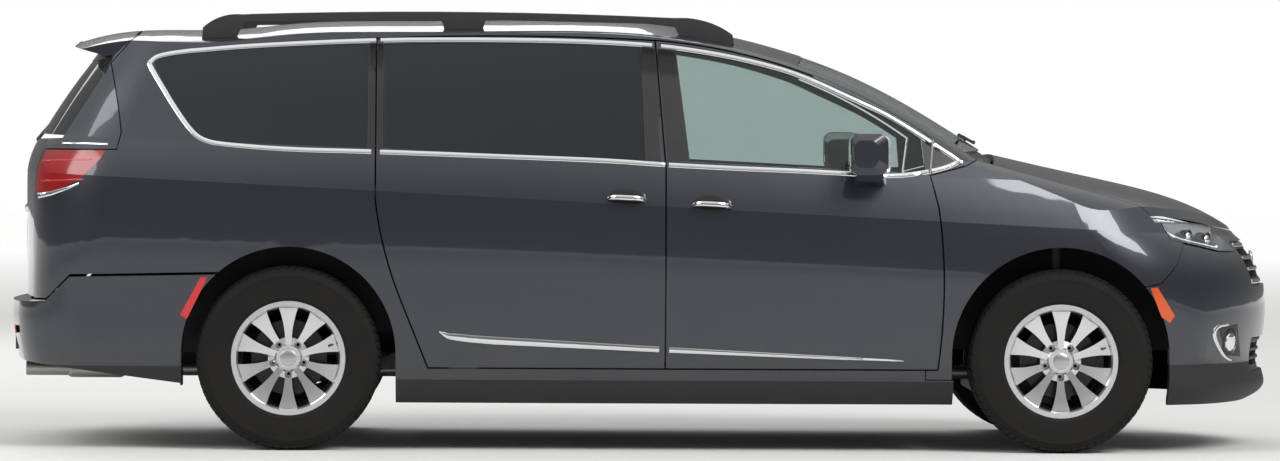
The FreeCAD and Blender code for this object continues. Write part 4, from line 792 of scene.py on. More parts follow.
class Skin:
    """A surface of the van, found by looking at it from outside."""

    REACH = 1.4
    STEP_UP = 0.004
    BLUR = 0.002

    def __init__(self, names: Sequence[str]) -> None:
        """Gathers the faces.

        Args:
            names: The nodes that make up the surface.
        """
        vertices: list[Vector] = []
        faces: list[list[int]] = []
        for name in names:
            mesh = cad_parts[name].data
            start = len(vertices)
            vertices.extend(v.co.copy() for v in mesh.vertices)
            faces.extend([i + start for i in p.vertices] for p in mesh.polygons)
        self.tree = BVHTree.FromPolygons(vertices, faces)

    def cast(self, origin: Sequence[float], direction: Sequence[float]) -> Hit | None:
        """Looks along a line.

        Args:
            origin: Where the look starts.
            direction: Where it goes.

        Returns:
            The first surface point and its normal towards the eye, or None.
        """
        way = Vector(direction).normalized()
        point, normal, _, _ = self.tree.ray_cast(Vector(origin), way, self.REACH)
        if point is None:
            return None
        return point, (-normal if normal.dot(way) > 0 else normal)

    def lay(self, looks: Sequence[tuple[Sequence[float], Sequence[float]]]) -> list[Hit]:
        """Looks along many lines in a row and bridges gaps and recesses between panels.

        Args:
            looks: The origins and directions, all from one side.

        Returns:
            The points and evened normals.
        """
        found = [self.cast(o, d) for o, d in looks]
        known = [i for i, hit in enumerate(found) if hit]
        if not known:
            raise ValueError(f"no surface under the path from {looks[0][0]}")
        if len(known) < 0.8 * len(looks):
            LOG.warning("path from %s misses the surface at %d points", looks[0][0], len(looks) - len(known))
        far = {i: (found[i][0] - Vector(looks[i][0])).length for i in known}
        reach = []
        for i in range(len(looks)):
            before = max((k for k in known if k <= i), default=known[0])
            after = min((k for k in known if k >= i), default=known[-1])
            share = (i - before) / (after - before) if after > before else 0.0
            reach.append(far[before] * (1 - share) + far[after] * share)
        found = [found[min(known, key=lambda k: abs(k - i))] for i in range(len(looks))]
        level = []
        for i, length in enumerate(reach):
            near = sorted(reach[max(0, i - 3):i + 4])
            middle = near[(len(near) - 1) // 2]
            level.append(min(length, middle + self.BLUR) if length > middle + self.STEP_UP else length)
        out = []
        for i, (origin, way) in enumerate(looks):
            normal = Vector((0.0, 0.0, 0.0))
            for k in range(max(0, i - 2), min(len(looks), i + 3)):
                if abs(reach[k] - level[k]) < 0.001:
                    normal += found[k][1]
            if normal.length < 1e-6:
                normal = -Vector(way)
            out.append((Vector(origin) + Vector(way).normalized() * level[i], normal.normalized()))
        return out

    def side(self, path: Sequence[Point], side: Side) -> list[Hit]:
        """Lays a side-view path, pairs of x and z, on one side."""
        return self.lay([((x, 1.6 * side.value, z), (0.0, -side.value, 0.0)) for x, z in path])

    def end(self, path: Sequence[Point], forward: int) -> list[Hit]:
        """Lays a path of y and z on the nose, or with forward -1 on the tail."""
        return self.lay([((3.4 * forward, y, z), (-forward, 0.0, 0.0)) for y, z in path])

    def top(self, path: Sequence[Point]) -> list[Hit]:
        """Lays a path of x and y on the upper side."""
        return self.lay([((x, y, 2.4), (0.0, 0.0, -1.0)) for x, y in path])

    def side_grid(self, corners: Sequence[Point], side: Side, wide: int = 6,
                  high: int = 16) -> list[tuple[Hit, ...]]:
        """Lays a four-cornered panel on one side.

        Args:
            corners: Its corners in order, pairs of x and z.
            side: The side.
            wide: How many points go along its short edges.
            high: How many points go along its long edges.

        Returns:
            The grid of points.
        """
        rows = []
        for r in range(high):
            t = r / (high - 1)
            start, stop = lerp(corners[0], corners[3], t), lerp(corners[1], corners[2], t)
            rows.append([lerp(start, stop, c / (wide - 1)) for c in range(wide)])
        return list(zip(*(self.side(column, side) for column in zip(*rows))))


class Repeats:
    """The Geometry Nodes trees that repeat a small item round a wheel, along a line or along a path."""

    def __init__(self) -> None:
        """Builds the trees once."""
        self.ring = self.make_ring()
        self.row = self.make_row()
        self.stitch = self.make_stitch()

    @staticmethod
    def start(name: str, sizes: dict[str, str]) -> tuple[Sheet, Node, Node]:
        """An empty tree that takes a geometry, its sizes and a material."""
        return new_tree("Geometry", name, {"Geometry": "Geometry", **sizes, "Material": "Material"},
                        {"Geometry": "Geometry"})

    @staticmethod
    def close(sheet: Sheet, geometry: Socket, given: Node, out: Node) -> bpy.types.NodeTree:
        """Makes the instances real and gives them their material.

        Args:
            sheet: The tree's sheet.
            geometry: The instances.
            given: The input node.
            out: The output node.

        Returns:
            The tree.
        """
        real = sheet.add("GeometryNodeRealizeInstances", {"Geometry": geometry})
        done = sheet.add("GeometryNodeSetMaterial", {"Geometry": real.outputs[0],
                                                     "Material": given.outputs["Material"]})
        sheet.fill(out, {0: done.outputs[0]})
        return sheet.tree

    def make_ring(self) -> bpy.types.NodeTree:
        """Items round an axle, each with its own X axis outward."""
        sheet, given, out = self.start("ring_about_axle", {"Count": "Int", "Radius": "Float", "Turn": "Float",
                                                           "Centre": "Vector"})
        take = given.outputs
        circle = sheet.add("GeometryNodeMeshCircle", {"Vertices": take["Count"], "Radius": take["Radius"]})
        upright = sheet.add("GeometryNodeTransform", {"Geometry": circle.outputs[0],
                                                      "Rotation": (math.pi / 2, 0.0, 0.0)})
        index = sheet.add("GeometryNodeInputIndex").outputs[0]
        part = sheet.math("DIVIDE", sheet.math("MULTIPLY", index, -2 * math.pi), take["Count"])
        euler = sheet.add("ShaderNodeCombineXYZ", {1: part})
        turn = sheet.add("FunctionNodeEulerToRotation", {0: euler.outputs[0]})
        items = sheet.add("GeometryNodeInstanceOnPoints", {
            "Points": upright.outputs[0], "Instance": take["Geometry"], "Rotation": turn.outputs[0]})
        whole = sheet.add("ShaderNodeCombineXYZ", {1: take["Turn"]})
        placed = sheet.add("GeometryNodeTransform", {"Geometry": items.outputs[0], "Rotation": whole.outputs[0],
                                                     "Translation": take["Centre"]})
        return self.close(sheet, placed.outputs[0], given, out)

    def make_row(self) -> bpy.types.NodeTree:
        """Items along a straight line."""
        sheet, given, out = self.start("row_of_items", {"Count": "Int", "Start": "Vector", "Step": "Vector"})
        take = given.outputs
        line = sheet.add("GeometryNodeMeshLine", {"Count": take["Count"], "Start Location": take["Start"],
                                                  "Offset": take["Step"]})
        items = sheet.add("GeometryNodeInstanceOnPoints", {"Points": line.outputs[0],
                                                           "Instance": take["Geometry"]})
        return self.close(sheet, items.outputs[0], given, out)

    def make_stitch(self) -> bpy.types.NodeTree:
        """Short threads along a path of edges."""
        sheet, given, out = self.start("stitches", {"Pitch": "Float", "Length": "Float", "Radius": "Float"})
        take = given.outputs
        curve = sheet.add("GeometryNodeMeshToCurve", {"Mesh": take["Geometry"]})
        spaced = sheet.add("GeometryNodeResampleCurve", {"Curve": curve.outputs[0], "Length": take["Pitch"]},
                           mode="LENGTH")
        thread = sheet.add("GeometryNodeMeshCylinder", {"Vertices": 6, "Radius": take["Radius"],
                                                        "Depth": take["Length"]})
        tangent = sheet.add("GeometryNodeInputTangent")
        turn = sheet.add("FunctionNodeAlignRotationToVector", {"Vector": tangent.outputs[0]}, axis="Z")
        items = sheet.add("GeometryNodeInstanceOnPoints", {
            "Points": spaced.outputs[0], "Instance": thread.outputs[0], "Rotation": turn.outputs[0]})
        return self.close(sheet, items.outputs[0], given, out)

    @staticmethod
    def grow(piece: Piece, tree: bpy.types.NodeTree, **sizes: object) -> Piece:
        """Runs a tree on an item or path and keeps the result as its plain mesh.

        Args:
            piece: The item or path.
            tree: The tree.
            sizes: The tree's inputs by name.

        Returns:
            The same object with the grown mesh.
        """
        modifier = piece.modifiers.new("grown", "NODES")
        modifier.node_group = tree
        for item in tree.interface.items_tree:
            if item.in_out == "INPUT" and item.name in sizes:
                modifier[item.identifier] = sizes[item.name]
        return baked(piece, modifier)


# Sub-assemblies


class Kit:
    """The finishes, the outer surface and the repeating trees."""

    def __init__(self) -> None:
        """Makes everything once."""
        effects = Effects()
        self.finishes = {finish.name: finish.build(effects) for finish in FINISHES}
        self.repeats = Repeats()
        self.skin = Skin(SHELL)


@dataclass
class Dress:
    kit: Kit

    def add(self, shape: Shape, name: str, finish: str, body: str = "body", slot: str = "") -> Piece:
        """Turns a shape into a piece that rides on a body.

        Args:
            shape: The shape.
            name: The piece's name.
            finish: Its finish.
            body: The body.
            slot: The record's material slot, where it isn't the finish's usual one. Not used.

        Returns:
            The piece.
        """
        return settle(shape.finish(name, self.kit.finishes[finish]), body)

    def build(self) -> None:
        """Makes the pieces."""
        raise NotImplementedError


@dataclass
class Carried(Dress):
    """The finishes of the solids that stay as they are."""

    def build(self) -> None:
        """Gives every node its finish."""
        for finish, names in CARRIED.items():
            for name in names:
                for node in [name + side.word for side in Side] if name.endswith("_") else [name]:
                    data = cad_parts[node].data
                    data.materials.clear()
                    data.materials.append(self.kit.finishes[finish])


@dataclass
class WindowTrim(Dress):
    """The bright surround of the side windows and the black pillar panels inside it."""

    width: float = 0.020
    height: float = 0.0035
    lower: tuple[Point, ...] = (
        (1.267, 1.160), (1.198, 1.128), (1.095, 1.107), (0.989, 1.095), (0.835, 1.104), (0.615, 1.115),
        (0.326, 1.125), (0.071, 1.137), (-0.160, 1.153), (-0.581, 1.167), (-1.086, 1.184), (-1.424, 1.190),
        (-1.689, 1.209), (-1.771, 1.224), (-1.828, 1.262), (-1.905, 1.369), (-1.971, 1.475), (-2.010, 1.538))
    upper: tuple[Point, ...] = (
        (-2.002, 1.556), (-1.966, 1.585), (-1.853, 1.603), (-1.793, 1.608), (-1.571, 1.628), (-1.090, 1.652),
        (-0.723, 1.656), (-0.299, 1.653), (0.023, 1.638), (0.229, 1.612), (0.434, 1.573), (0.623, 1.520),
        (0.851, 1.415), (0.953, 1.369), (1.056, 1.308), (1.159, 1.242), (1.262, 1.176))
    # Each panel's name, whether the front door carries it, and its corners in the side view.
    panels: tuple[tuple[str, bool, tuple[Point, ...]], ...] = (
        ("door_pillar", True, ((0.046, 1.612), (0.117, 1.604), (0.170, 1.165), (0.086, 1.160))),
        ("slide_pillar", False, ((-0.020, 1.618), (0.034, 1.614), (0.074, 1.162), (-0.002, 1.168))),
        ("slide_rear", False, ((-1.078, 1.628), (-1.056, 1.628), (-1.056, 1.206), (-1.078, 1.208))),
        ("quarter_front", False, ((-1.112, 1.626), (-1.087, 1.627), (-1.087, 1.208), (-1.112, 1.210))),
        ("door_sail", True, ((1.120, 1.250), (1.144, 1.236), (1.131, 1.132), (1.120, 1.130))),
        ("tip_sail", False, ((1.154, 1.226), (1.243, 1.170), (1.243, 1.154), (1.152, 1.132))),
    )

    def line(self) -> list[Point]:
        """The middle of the trim, from the front tip along the sill, round the tail and back along the roof."""
        outer = denser(rounder([*self.lower, *self.upper, self.lower[0]]))
        inset = []
        for i, (x, z) in enumerate(outer):
            ax, az = outer[max(i - 1, 0)]
            bx, bz = outer[min(i + 1, len(outer) - 1)]
            n = math.hypot(bx - ax, bz - az) or 1.0
            inset.append((x + (bz - az) / n * self.width / 2, z - (bx - ax) / n * self.width / 2))
        return inset

    def spans(self) -> list[tuple[str, bool, list[Point]]]:
        """The runs of trim between the seams: name, whether the front door carries it, and path."""
        line = self.line()
        turn = min(range(len(line)), key=lambda i: line[i][0])
        low, high = line[:turn + 1], line[turn:]

        def between(points: list[Point], start: float, stop: float) -> list[Point]:
            return [p for p in points if start < p[0] < stop]

        return [
            ("tip", False, between(high, 1.152, 2.0) + between(low, 1.141, 2.0)),
            ("door_low", True, between(low, 0.086, 1.133)),
            ("door_top", True, between(high, 0.046, 1.147)),
            ("slide_low", False, between(low, -1.079, 0.075)),
            ("slide_top", False, between(high, -1.079, 0.034)),
            ("quarter", False, between(low, -3.0, -1.085) + between(high, -3.0, -1.085)),
        ]

    def build(self) -> None:
        """Lays the trim and the panels on both sides."""
        for side in Side:
            for name, on_door, path in self.spans():
                strip = Shape().strip(self.kit.skin.side(path, side), self.width, self.height)
                self.add(strip, f"window_trim_{name}_{side.word}", "chrome", side.door if on_door else "body")
            for name, on_door, corners in self.panels:
                slab = Shape().slab(self.kit.skin.side_grid(corners, side), 0.0016, 0.002)
                self.add(slab, f"panel_{name}_{side.word}", "gloss_black", side.door if on_door else "body")


@dataclass
class DoorHandles(Dress):
    """Bright pull handles over painted shade where the hand recesses lie, two on each side."""

    length: float = 0.158
    width: float = 0.021
    reach: float = 0.034
    steps: int = 25

    def handle(self, side: Side, name: str, body: str, x: float, z: float) -> None:
        """Lays one handle with the painted shade of its hollow and its two posts.

        Args:
            side: The side.
            name: Which door it is on.
            body: The door's body.
            x: Its middle along the van.
            z: Its height.
        """
        places = [i / (self.steps - 1) - 0.5 for i in range(self.steps)]
        path = [(x + self.length * t, z - 0.05 * self.length * t) for t in places]
        hits = self.kit.skin.side(path, side)
        ends = [abs(2 * t) for t in places]
        lifts = [self.reach * (1 - t ** 4) + 0.004 for t in ends]
        widths = [self.width * (1 - 0.35 * t ** 6) for t in ends]
        dish = [max(0.004, 0.062 * math.sqrt(max(0.0, 1 - t * t))) for t in ends]
        grip = Shape().strip(hits, widths, 0.008, lifts=lifts, thick=0.006)
        self.add(grip, f"handle_{name}_{side.word}", "chrome", body)
        # Painted shade: a thin gloss-black sheet, as wide as dish, on the flat skin above the bar, where a
        # hollow for the hand would lie in shade.
        shade_hits = self.kit.skin.side([(px, pz + 0.012) for px, pz in path], side)
        shade_patch = Shape().strip(shade_hits, dish, 0.0014, Rim.FLAT)
        self.add(shade_patch, f"handle_cup_{name}_{side.word}", "gloss_black", body)
        top = self.reach * 0.85
        post = [(0.0, -0.001), (0.008, -0.001), (0.007, top), (0.0, top)]
        for end, at in (("fore", -3), ("aft", 2)):
            self.add(Shape().turned(post, *hits[at], 20), f"handle_post_{end}_{name}_{side.word}",
                     "black_plastic", body)

    def build(self) -> None:
        """Lays the handles on both sides."""
        for side in Side:
            self.handle(side, "slide", "body", -0.079, 1.008)
            self.handle(side, "door", side.door, 0.262, 0.984)


@dataclass
class FlankTrim(Dress):
    """The bright strip low on the doors, widest at the rear and running out to a tip in front."""

    height: float = 0.009
    path: tuple[Point, ...] = ((-0.825, 0.478), (-0.788, 0.460), (-0.700, 0.450), (-0.604, 0.443),
                               (0.094, 0.409), (0.600, 0.387), (1.032, 0.369))
    widths: tuple[Point, ...] = ((-0.825, 0.006), (-0.800, 0.022), (-0.760, 0.033), (-0.604, 0.036),
                                 (0.094, 0.026), (0.600, 0.018), (1.000, 0.010), (1.032, 0.004))

    def width_at(self, x: float) -> float:
        """The strip's width at a place along the van."""
        for (ax, aw), (bx, bw) in zip(self.widths, self.widths[1:]):
            if x <= bx:
                return aw + (bw - aw) * max(0.0, (x - ax) / (bx - ax))
        return self.widths[-1][1]

    def build(self) -> None:
        """Lays the strips on both sides."""
        for side in Side:
            for name, body, low, high in (("slide", "body", -1.0, 0.073), ("door", side.door, 0.085, 1.1)):
                path = [p for p in denser(self.path) if low < p[0] < high]
                strip = Shape().strip(self.kit.skin.side(path, side), [self.width_at(x) for x, _ in path],
                                      self.height)
                self.add(strip, f"flank_trim_{name}_{side.word}", "chrome", body)


@dataclass
class Wheels(Dress):
    """Tyres with ribbed side walls and a blocked tread, and the wheels' nuts, caps and valves."""

    tread: float = 0.0075
    lug_circle: float = 0.0635
    face: float = 0.088
    # Each row of blocks: name, count, inner and outer edge across, share of the pitch, turn, and shoulder drop.
    rows: tuple[tuple[str, int, float, float, float, float, float], ...] = (
        ("a", 68, 0.078, 0.106, 0.78, 0.00, 0.011),
        ("b", 68, -0.078, -0.106, 0.78, 0.04, 0.011),
        ("c", 64, 0.034, 0.069, 0.84, 0.02, 0.0008),
        ("d", 64, -0.034, -0.069, 0.84, 0.06, 0.0008),
        ("e", 60, -0.026, 0.026, 0.93, 0.01, 0.0),
    )

    def section(self) -> list[Point]:
        """The closed section of the carcass, pairs of radius and place across."""
        r = WHEEL_RADIUS - self.tread
        outer = [(0.2292, 0.1010), (0.2292, 0.1082), (0.236, 0.1125), (0.2405, 0.1150), (0.246, 0.1146),
                 (0.262, 0.1160), (0.285, 0.1175), (0.305, 0.1172), (0.325, 0.1160), (0.328, 0.1168),
                 (0.331, 0.1150), (0.345, 0.1110), (r - 0.010, 0.1060), (r - 0.003, 0.0960), (r, 0.0800),
                 (r, 0.0)]
        inner = [(r - 0.012, 0.0), (r - 0.014, 0.080), (0.330, 0.104), (0.285, 0.110), (0.250, 0.105),
                 (0.240, 0.094), (0.2165, 0.088), (0.2165, 0.0995), (0.2285, 0.0995)]
        far_outer = [(radius, -y) for radius, y in outer[:-1]]
        far_inner = [(radius, -y) for radius, y in inner[1:]]
        return outer + far_outer[::-1] + far_inner[::-1] + inner

    def blocks(self, name: str, centre: Vector, count: int, low: float, high: float, share: float,
               turn: float, drop: float) -> Piece:
        """One row of tread blocks round the tyre.

        Args:
            name: The row's name.
            centre: The wheel's centre.
            count: How many blocks there are.
            low: The row's inner edge across the tyre.
            high: Its outer edge.
            share: How much of the pitch a block fills.
            turn: How far the row is turned.
            drop: How far the outer edge falls towards the shoulder.

        Returns:
            The row.
        """
        half = math.pi * WHEEL_RADIUS / count * share
        base, skew = -self.tread - 0.004, half / 2
        corners = ((base, -half), (0.0, -half), (0.0, half), (base, half))
        rings = [[Vector((x - fall, y, z + lean)) for x, z in corners]
                 for y, fall, lean in ((low, 0.0, -skew), (high, drop, skew))]
        rubber = self.kit.finishes["tyre"]
        piece = Shape().rings(rings).finish(name, rubber, smooth=False)
        return self.kit.repeats.grow(piece, self.kit.repeats.ring, Count=count, Radius=WHEEL_RADIUS - 0.0006,
                                     Turn=turn, Centre=tuple(centre), Material=rubber)

    def tyre(self, name: str, body: str, centre: Vector) -> None:
        """One tyre in the place of the plain one."""
        dress = "tyre_dress_" + name
        rubber = self.kit.finishes["tyre"]
        carcass = Shape().turned(self.section(), centre, (0, 1, 0), 120).finish(dress, rubber)
        rows = [self.blocks(f"{dress}_{row}", centre, *sizes) for row, *sizes in self.rows]
        piece = joined([carcass] + rows, dress)
        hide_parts("tyre_" + name)
        settle(piece, body)

    def fittings(self, body: str, centre: Vector, s: int) -> None:
        """The lug nuts, the blank centre cap and the valve of one wheel."""
        nut = Shape().turned([(0.0, -0.002), (0.0095, -0.002), (0.0095, 0.017), (0.0070, 0.021), (0.0, 0.022)],
                             Vector((0.0, 0.046 * s, 0.0)), (0, s, 0), 6)
        chrome = self.kit.finishes["chrome"]
        piece = nut.finish(f"lug_nuts_{body}", chrome)
        self.kit.repeats.grow(piece, self.kit.repeats.ring, Count=5, Radius=self.lug_circle, Turn=math.pi * 0.3,
                              Centre=tuple(centre), Material=chrome)
        settle(piece, body)
        hub = centre + Vector((0, self.face * s, 0))
        cap = [(0.0, -0.002), (0.0325, -0.002), (0.0325, 0.0018), (0.029, 0.0036), (0.016, 0.0056),
               (0.0, 0.0062)]
        ring = [(0.0330, -0.001), (0.0385, -0.001), (0.0375, 0.0030), (0.0340, 0.0030)]
        stem = [(0.0, 0.0), (0.0042, 0.0), (0.0036, 0.022), (0.0046, 0.023), (0.0046, 0.033), (0.0, 0.034)]
        self.add(Shape().turned(cap, hub, (0, s, 0), 64), f"centre_cap_{body}", "satin_metal", body)
        self.add(Shape().turned(ring, hub, (0, s, 0), 64), f"cap_ring_{body}", "chrome", body)
        foot = hub + Vector((math.cos(0.3), 0.0, math.sin(0.3))) * 0.19
        self.add(Shape().turned(stem, foot, (-0.5, s * 0.6, -0.15), 14), f"valve_{body}", "black_plastic", body,
                 "tyre")

    def build(self) -> None:
        """Makes the four tyres and the fittings of their wheels."""
        for end, x in WHEEL_X.items():
            for side in Side:
                centre = Vector((x, WHEEL_Y * side.value, WHEEL_RADIUS))
                body = f"{end}_wheel_{side.word}"
                self.tyre(f"{end}_{side.word}", body, centre)
                self.fittings(body, centre, side.value)


@dataclass
class LampUnits(Dress):
    """Head lamps with a bowl and two projectors, tail lamp trim and fog lamps."""

    bowl_wall: float = 0.0012

    def bowl(self) -> None:
        """Reflector bowls in the head lamps: the lenses' walls and backs, drawn in, without their faces."""
        mesh = bmesh.new()
        mesh.from_mesh(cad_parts["headlamps"].data)
        bmesh.ops.remove_doubles(mesh, verts=mesh.verts, dist=1e-5)
        bmesh.ops.recalc_face_normals(mesh, faces=mesh.faces)
        faces = []
        for face in mesh.faces:
            middle, normal = face.calc_center_median(), face.normal
            out = Vector((0.66, 0.70 * math.copysign(1.0, middle.y), 0.25))
            open_air = self.kit.skin.tree.ray_cast(middle + normal * 0.002, normal, 0.10)[0] is None
            if normal.dot(out) > 0.25 and open_air:
                faces.append(face)
        bmesh.ops.delete(mesh, geom=faces, context="FACES")
        for vertex in mesh.verts:
            vertex.co -= vertex.normal * 0.0025
        piece = from_bmesh("headlamp_bowls", mesh)
        piece.data.materials.append(self.kit.finishes["lamp_reflector"])
        piece.modifiers.new("wall", "SOLIDIFY").thickness = self.bowl_wall
        settle(piece, "body")

    def head(self, side: Side) -> None:
        """Two projectors and a bright brow in a head lamp."""
        s = side.value
        tube = [(0.0, -0.030), (0.029, -0.030), (0.031, 0.004), (0.034, 0.010), (0.034, 0.014), (0.029, 0.014),
                (0.027, 0.004), (0.0, 0.004)]
        lens = [(0.0, 0.004), (0.026, 0.004), (0.022, 0.013), (0.013, 0.019), (0.0, 0.021)]
        for i, (x, y, z) in enumerate(((2.185, 0.723, 0.862), (2.270, 0.638, 0.850))):
            for name, profile, finish in (("ring", tube, "gloss_black"), ("lens", lens, "mirror_glass")):
                self.add(Shape().turned(profile, Vector((x, y * s, z)), (0.86, 0.50 * s, 0.0), 40),
                         f"projector_{name}_{i}_{side.word}", finish)
        brow = rounder([(2.100, 0.888), (2.150, 0.862), (2.230, 0.845), (2.318, 0.824)])
        hits = [(p - n * 0.006, n) for p, n in self.kit.skin.side(denser(brow, FINE_STEP), side)]
        self.add(Shape().strip(hits, 0.011, 0.003), f"headlamp_brow_{side.word}", "chrome", slot="lamp_clear")

    def tail(self, side: Side) -> None:
        """Bright lines under and over a tail lamp, and two ribs on its lens."""
        under, over, *ribs = (self.kit.skin.side(denser(path, FINE_STEP), side) for path in (
            [(-2.436, 1.010), (-2.38, 1.020), (-2.30, 1.046), (-2.262, 1.062)],
            [(-2.340, 1.221), (-2.240, 1.2215), (-2.152, 1.219)],
            [(-2.425, 1.070), (-2.33, 1.074), (-2.245, 1.078)],
            [(-2.425, 1.150), (-2.33, 1.154), (-2.215, 1.158)]))
        widths = [0.022 - 0.014 * i / (len(under) - 1) for i in range(len(under))]
        self.add(Shape().strip(under, widths, 0.003), f"tail_lamp_strip_{side.word}", "chrome")
        self.add(Shape().strip(over, 0.008, 0.002), f"tail_glass_line_{side.word}", "chrome", "liftgate")
        for i, rib in enumerate(ribs):
            self.add(Shape().strip(rib, 0.006, 0.0012), f"tail_lamp_rib_{i}_{side.word}", "marker_red",
                     slot="lamp_red")

    def fog(self, side: Side) -> None:
        """A fog lamp in its pocket, with a bright bezel, at a corner of the front bumper."""
        skin, s = self.kit.skin, side.value
        path = rounder([(2.362, 0.512), (2.306, 0.508), (2.290, 0.470), (2.322, 0.408), (2.352, 0.376),
                        (2.378, 0.366)])
        hits = skin.side(denser(path, 0.008), side)
        widths = [0.010 + 0.012 * math.sin(math.pi * i / (len(hits) - 1)) for i in range(len(hits))]
        self.add(Shape().strip(hits, widths, 0.006), f"fog_bezel_{side.word}", "chrome")
        pocket = skin.side_grid(((2.318, 0.498), (2.405, 0.512), (2.425, 0.378), (2.352, 0.388)), side, 10, 12)
        self.add(Shape().slab(pocket, 0.0012, 0.002), f"fog_pocket_{side.word}", "black_plastic")
        way = Vector((-0.80, -0.60 * s, 0.0))
        hit = skin.cast(Vector((2.395, 0.700 * s, 0.440)) - way * 0.8, way)
        dish = [(0.0, -0.010), (0.056, -0.010), (0.058, 0.002), (0.050, 0.004), (0.046, -0.002), (0.0, -0.002)]
        lens = [(0.0, -0.003), (0.040, -0.003), (0.036, 0.006), (0.020, 0.010), (0.0, 0.011)]
        self.add(Shape().turned(dish, *hit, 40), f"fog_housing_{side.word}", "gloss_black")
        self.add(Shape().turned(lens, *hit, 40), f"fog_lens_{side.word}", "mirror_glass")

    def build(self) -> None:
        """Makes every lamp's parts."""
        self.bowl()
        for side in Side:
            self.head(side)
            self.tail(side)
            self.fog(side)


@dataclass
class Mirrors(Dress):
    """The glass of the door mirrors."""

    x: float = 0.808

    def build(self) -> None:
        """Makes the glass of both mirrors."""
        for side in Side:
            low_y, high_y = sorted((0.990 * side.value, 1.128 * side.value))
            glass = Shape().block((self.x - 0.0015, low_y, 1.147), (self.x + 0.0015, high_y, 1.241), 0.0012)
            self.add(glass, f"mirror_glass_{side.word}", "mirror_glass", side.door, "clear_glass")


@dataclass
class NoseDress(Dress):
    """Bright vanes in the upper grille, slats in the intake and a blank badge plate."""

    half: float = 0.455

    def build(self) -> None:
        """Makes the grille's parts."""
        skin = self.kit.skin
        across = [k / 30 * self.half for k in range(-30, 31)]
        for i, (z, width) in enumerate(((0.827, 0.022), (0.7745, 0.014), (0.7295, 0.014), (0.677, 0.022))):
            self.add(Shape().strip(skin.end([(y, z) for y in across], 1), width, 0.005), f"grille_vane_{i}",
                     "chrome")
        for i, z in enumerate((0.3645, 0.3995, 0.440)):
            self.add(Shape().strip(skin.end([(y, z) for y in across], 1), 0.009, 0.005, Rim.FLAT),
                     f"intake_slat_{i}", "black_plastic")
        middle = skin.end([(0.0, 0.762)], 1)[0][0]
        badge = [(0.0, -0.001), (0.036, -0.001), (0.036, 0.006), (0.032, 0.009), (0.0, 0.010)]
        self.add(Shape().turned(badge, middle, (1.0, 0.0, 0.08)), "badge_plate", "satin_metal")


@dataclass
class TailDress(Dress):
    """Blank plate with its surround, bright bar, high stop lamp, rear wiper and reflectors."""

    def strip(self, name: str, finish: str, path: Sequence[Point], widths: float | Sequence[float],
              height: float, body: str = "liftgate", **shape: object) -> None:
        """Lays a strip on the tail.

        Args:
            name: Its name.
            finish: Its finish.
            path: Pairs of y and z.
            widths: Its width or widths.
            height: How far it stands out.
            body: The body that it rides on.
            shape: What else the strip's shape needs.
        """
        self.add(Shape().strip(self.kit.skin.end(path, -1), widths, height, **shape), name, finish, body)

    def build(self) -> None:
        """Makes the tail's parts."""
        rows = [self.kit.skin.end([(y, z) for y in (-0.152, -0.09, -0.03, 0.03, 0.09, 0.152)], -1)
                for z in (0.905, 0.87, 0.83, 0.79, 0.755)]
        self.add(Shape().slab(rows, 0.004, 0.001), "blank_plate", "blank_plate", "liftgate")
        surround = rounder([(-0.175, 0.735), (-0.175, 0.925), (0.175, 0.925), (0.175, 0.735),
                            (-0.175, 0.735)], 1)
        self.strip("plate_surround", "black_plastic", denser(surround), 0.012, 0.003)
        bar = [(k / 20 * 0.36, 0.958 - 0.010 * (k / 20) ** 2) for k in range(-20, 21)]
        self.strip("tail_bar", "chrome", bar, 0.024, 0.010)
        stop = [(k / 16 * 0.17, 1.632) for k in range(-16, 17)]
        self.strip("high_stop_lamp", "lamp_red", stop, 0.016, 0.003, rim=Rim.FLAT)
        arm = denser([(0.0, 1.228), (0.05, 1.262), (0.16, 1.300), (0.30, 1.312)])
        widths = [0.020 - 0.010 * i / (len(arm) - 1) for i in range(len(arm))]
        self.strip("rear_wiper_arm", "black_plastic", arm, widths, 0.008, lifts=0.008, thick=0.004)
        self.strip("rear_wiper_blade", "black_plastic", denser([(0.02, 1.294), (0.16, 1.301), (0.32, 1.314)]),
                   0.010, 0.007, rim=Rim.FLAT)
        for side in Side:
            path = [(side.value * y, 0.470) for y in (0.56, 0.60, 0.64, 0.68, 0.72)]
            self.strip(f"rear_reflector_{side.word}", "marker_red", path, 0.030, 0.003, "body", rim=Rim.FLAT)


@dataclass
class RoofDress(Dress):
    """Bright edge strips on the roof rails and the front wipers."""

    rail_y: float = 0.622
    pivot_x: float = 1.358

    def build(self) -> None:
        """Makes the strips and wipers."""
        rails = Skin(["roof_rails"])
        for side in Side:
            hits = rails.top([(-1.60 + 1.80 * k / 60, self.rail_y * side.value) for k in range(61)])
            self.add(Shape().strip(hits, 0.007, 0.002), f"rail_strip_{side.word}", "satin_metal")
        glass = Skin(["windscreen", "cowl", "hood"])
        for side, start, stop in ((Side.LEFT, (1.300, 0.560), (1.335, -0.040)),
                                  (Side.RIGHT, (1.305, -0.120), (1.262, -0.640))):
            path = denser([start, lerp(start, stop, 0.5), stop])
            self.add(Shape().strip(glass.top(path), 0.011, 0.010, Rim.FLAT), f"wiper_blade_{side.word}",
                     "black_plastic")
            arm = glass.top(denser([(self.pivot_x, start[1] - 0.06), path[len(path) // 2]]))
            self.add(Shape().strip(arm, 0.016, 0.008, lifts=0.010, thick=0.004), f"wiper_arm_{side.word}",
                     "black_plastic")


